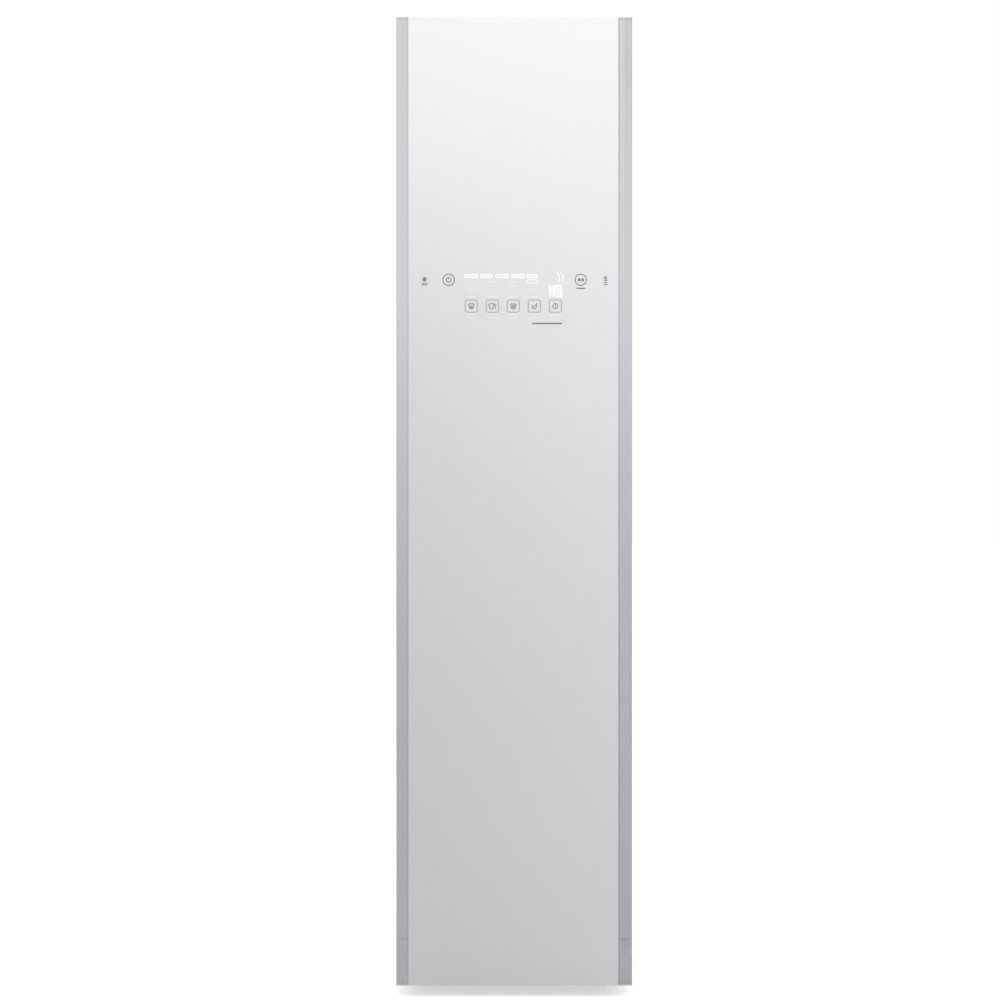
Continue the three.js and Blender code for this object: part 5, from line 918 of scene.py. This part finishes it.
# The cover is sewn through along the seams and held at its rim, and the foam presses it outwards.
RIM = 0.6
PAD_X, PAD_Z = (PAD_LEFT + PAD_RIGHT) / 2, (PAD_FOOT + PAD_TOP) / 2
flat = [corner.co.copy() for corner in pad.data.vertices]
held = [corner.index for corner in pad.data.vertices
        if min(abs(corner.co.z / MM - seam) for seam in seams) < 0.5
        or abs(corner.co.x / MM - PAD_X) > PAD_RIGHT - PAD_X - RIM
        or abs(corner.co.z / MM - PAD_Z) > PAD_TOP - PAD_Z - RIM]
pad.vertex_groups.new(name="sewn").add(held, 1.0, "ADD")
pressure = pad.modifiers.new("foam_pressure", "CLOTH").settings
pressure.vertex_group_mass = "sewn"
pressure.quality = 6
pressure.mass = 0.3
pressure.tension_stiffness = 12
pressure.compression_stiffness = 12
pressure.bending_stiffness = 0.4
pressure.shrink_min = -0.035
pressure.use_pressure = True
pressure.uniform_pressure_force = 4.0
pressure.effector_weights.gravity = 0
FRAMES = 20
for step in range(1, FRAMES + 1):
    bpy.context.scene.frame_set(step)
bpy.ops.object.modifier_apply(modifier="foam_pressure")
bpy.context.scene.frame_set(1)
for corner, start in zip(pad.data.vertices, flat):
    move = corner.co - start
    move.length = min(move.length, REACH * MM)
    corner.co = start + move
    away = corner.co.y / MM - MIDDLE_Y
    corner.co.y = (MIDDLE_Y + max(-FULL_HALF, min(FULL_HALF, away))) * MM
modify("SUBSURF", levels=1, render_levels=1)
complete("press_pad", "press_board", cloth, "press_pad", "press_board", angle=60)

# Each quilting seam is sewn with thick polyester thread, in stitches 7 mm long, on both sides.
thread = grained("polyester_thread", ("8d929a", "a2a7ae"), 3, (0.7, 0.85), 0.8, 0.05)
STITCH_LEFT, STITCH_GAP, STITCHES = -130, 9.2, 30
STITCH_PROFILE = [(0.2, 0), (0.75, 1), (0.75, 6), (0.2, 7)]
face = MIDDLE_Y + FLAT_HALF
build_up((STITCH_LEFT, face), [(radius, seams[0] + along) for radius, along in STITCH_PROFILE], 6)
lay_over((STITCH_LEFT, face, seams[0]), (1, 0, 0))
stitch = complete("press_pad_stitches", "press_board", thread, "press_pad")
repeat(stitch, [(STITCH_GAP * along, away, CHANNEL * seam) for along in range(STITCHES)
                for seam in range(len(seams)) for away in (0, -2 * FLAT_HALF) if along or seam or away])

# The rails, the hinge tube and the gripped edge are extruded aluminium, and steel pins turn in the ears.
RAIL_HEIGHT, TUBE_WIDTH, EDGE_WIDTH = 16, 12, 8
LOWER_RAIL, UPPER_RAIL = 715, 1509
GRIP_FOOT, GRIP_TOP, GRIP_DEPTH = 1165, 1255, 8
for name, foot in (("press_rail_lower", LOWER_RAIL), ("press_rail_upper", UPPER_RAIL)):
    start_box((board_low.x, board_low.y, foot), (board_high.x, board_high.y, foot + RAIL_HEIGHT))
    complete(name, "press_board", satin_trim, "satin_trim", round_edges=2.4)
foot, top = LOWER_RAIL + RAIL_HEIGHT + 0.1, UPPER_RAIL - 0.1
start_box((board_high.x - TUBE_WIDTH, board_low.y, foot), (board_high.x, board_high.y, top))
complete("press_hinge_tube", "press_board", satin_trim, "satin_trim", round_edges=4.5)
start_box((board_low.x, board_low.y, foot), (board_low.x + EDGE_WIDTH, board_high.y, top))
slice_at("z", GRIP_FOOT, GRIP_TOP)
choose(lambda middle, normal: normal.y < -0.9 and GRIP_FOOT < middle.z < GRIP_TOP)
push(0, GRIP_DEPTH, 0)
complete("press_edge", "press_board", satin_trim, "satin_trim", round_edges=1.2)
PIN_X, PIN_LENGTH = board_high.x - 5, 11
build_up((PIN_X, MIDDLE_Y), [(2.6, board_low.z), (3, board_low.z + 0.6), (3, board_low.z + PIN_LENGTH)], 24)
pin = complete("press_pins", "press_board", stainless, "stainless")
repeat(pin, [(0, 0, board_high.z - board_low.z - PIN_LENGTH)])
recast("press_latch", "press_latch", dark_nylon, "dark_plastic", 0.9)

# Two stainless hinge brackets on the front frame carry the door on upright pins. Two screws hold
# each of them.
recast("hinge_bracket_top", "cabinet", stainless, "stainless", 0.4)
recast("hinge_bracket_bottom", "cabinet", stainless, "stainless", 0.4)
SCREW_X, SCREW_FRONT, LOWEST_SCREW = 192, -232.25, 56
SCREWS_APART, BRACKETS_APART = 22, 1740
fixing = screw("hinge_screws", "cabinet", stainless, "stainless",
               (SCREW_X, SCREW_FRONT, LOWEST_SCREW), (0, -1, 0), 4.2, 1.4)
repeat(fixing, [(0, 0, up) for up in (SCREWS_APART, BRACKETS_APART, BRACKETS_APART + SCREWS_APART)])

# The studio: a pale floor under a white surround, one large lamp high in front that fades down the
# door as in the photograph, two softer lamps behind for the sides and the back, and the camera.

# Matt white floor: it takes the shadow softly, and a little light of its own brings it near white.
# Its grit is drawn in patches 17 mm wide, far coarser than life, so that it shows at all.
white_floor, spot = new_finish("matt_white_floor")
rays = add(white_floor, "LightPath", {})
seen = add(white_floor, "Math", {0: rays["Is Camera Ray"], 1: rays["Is Glossy Ray"]}, operation="MAXIMUM")[0]
seen = add(white_floor, "Math", {0: seen, 1: rays["Is Transmission Ray"]}, operation="MAXIMUM")[0]
GRIT = 16.67
grit = add(white_floor, "TexNoise", {"Vector": spot, "Scale": 1 / (GRIT * MM), "Detail": 3.0})["Fac"]
glow = add(white_floor, "Math", {0: seen, 1: 0.5}, operation="MULTIPLY")[0]
white = add(white_floor, "Mix", {0: grit, 6: linear("e9e9e9"), 7: linear("ececec")}, data_type="RGBA")[2]
close_finish(white_floor, Base_Color=white, Roughness=0.9, Specular_IOR_Level=0.2,
             Emission_Color=linear("ffffff"), Emission_Strength=glow)
bpy.ops.object.select_all(action="DESELECT")
bpy.ops.mesh.primitive_plane_add(size=60, location=(0, 0, 0))
floor = bpy.context.object
floor.name = "studio_floor"
floor.data.materials.append(white_floor)

world = bpy.data.worlds.new("white_studio")
bpy.context.scene.world = world
world.use_nodes = True
world.node_tree.nodes.clear()
rays = add(world, "LightPath", {})
plain = add(world, "Math", {0: rays["Is Camera Ray"], 1: rays["Is Glossy Ray"]}, operation="MAXIMUM")[0]
plain = add(world, "Math", {0: plain, 1: rays["Is Transmission Ray"]}, operation="MAXIMUM")[0]
AMBIENT = 0.71
power = add(world, "MapRange", {"Value": plain, "To Min": AMBIENT, "To Max": 1.0})[0]
light = add(world, "Background", {"Color": linear("ffffff"), "Strength": power})["Background"]
add(world, "OutputWorld", {"Surface": light})


def lamp(name, place, target, size, watts):
    """A soft rectangular lamp at a place in metres, facing another place."""
    data = bpy.data.lights.new(name, "AREA")
    data.shape, data.size, data.size_y, data.energy = "RECTANGLE", size[0], size[1], watts
    piece = bpy.data.objects.new(name, data)
    piece.matrix_world = (Matrix.Translation(place)
                          @ (Vector(target) - Vector(place)).to_track_quat("-Z", "Y").to_matrix().to_4x4())
    piece.visible_camera = piece.visible_glossy = False
    bpy.context.collection.objects.link(piece)


lamp("front_lamp", (0.25, -1.8, 2.75), (0, -0.3, 0.9), (1.8, 1.0), 29)
for name, side in (("left_rear_lamp", -1), ("right_rear_lamp", 1)):
    lamp(name, (side * 2.6, 1.6, 2.4), (0, 0.1, 0.9), (1.6, 2.0), 16)

# The picture is 1.885 m wide at the door's front, 3 m away, and looks straight at the door. Its middle
# stands a little left of the door's middle and a little over half the cabinet's height.
WIDE, DISTANCE = 1.885, 3.0
VIEW_X, VIEW_Z = -0.0269, 0.9394
camera_data = bpy.data.cameras.new("camera")
camera_data.sensor_width = 36.0
camera_data.lens = camera_data.sensor_width * DISTANCE / WIDE
camera = bpy.data.objects.new("camera", camera_data)
camera.location = (VIEW_X, cad_box[0].y - DISTANCE, VIEW_Z)
camera.rotation_euler = (pi / 2, 0, 0)
bpy.context.collection.objects.link(camera)
bpy.context.scene.camera = camera
bpy.context.scene.view_settings.view_transform = "Standard"
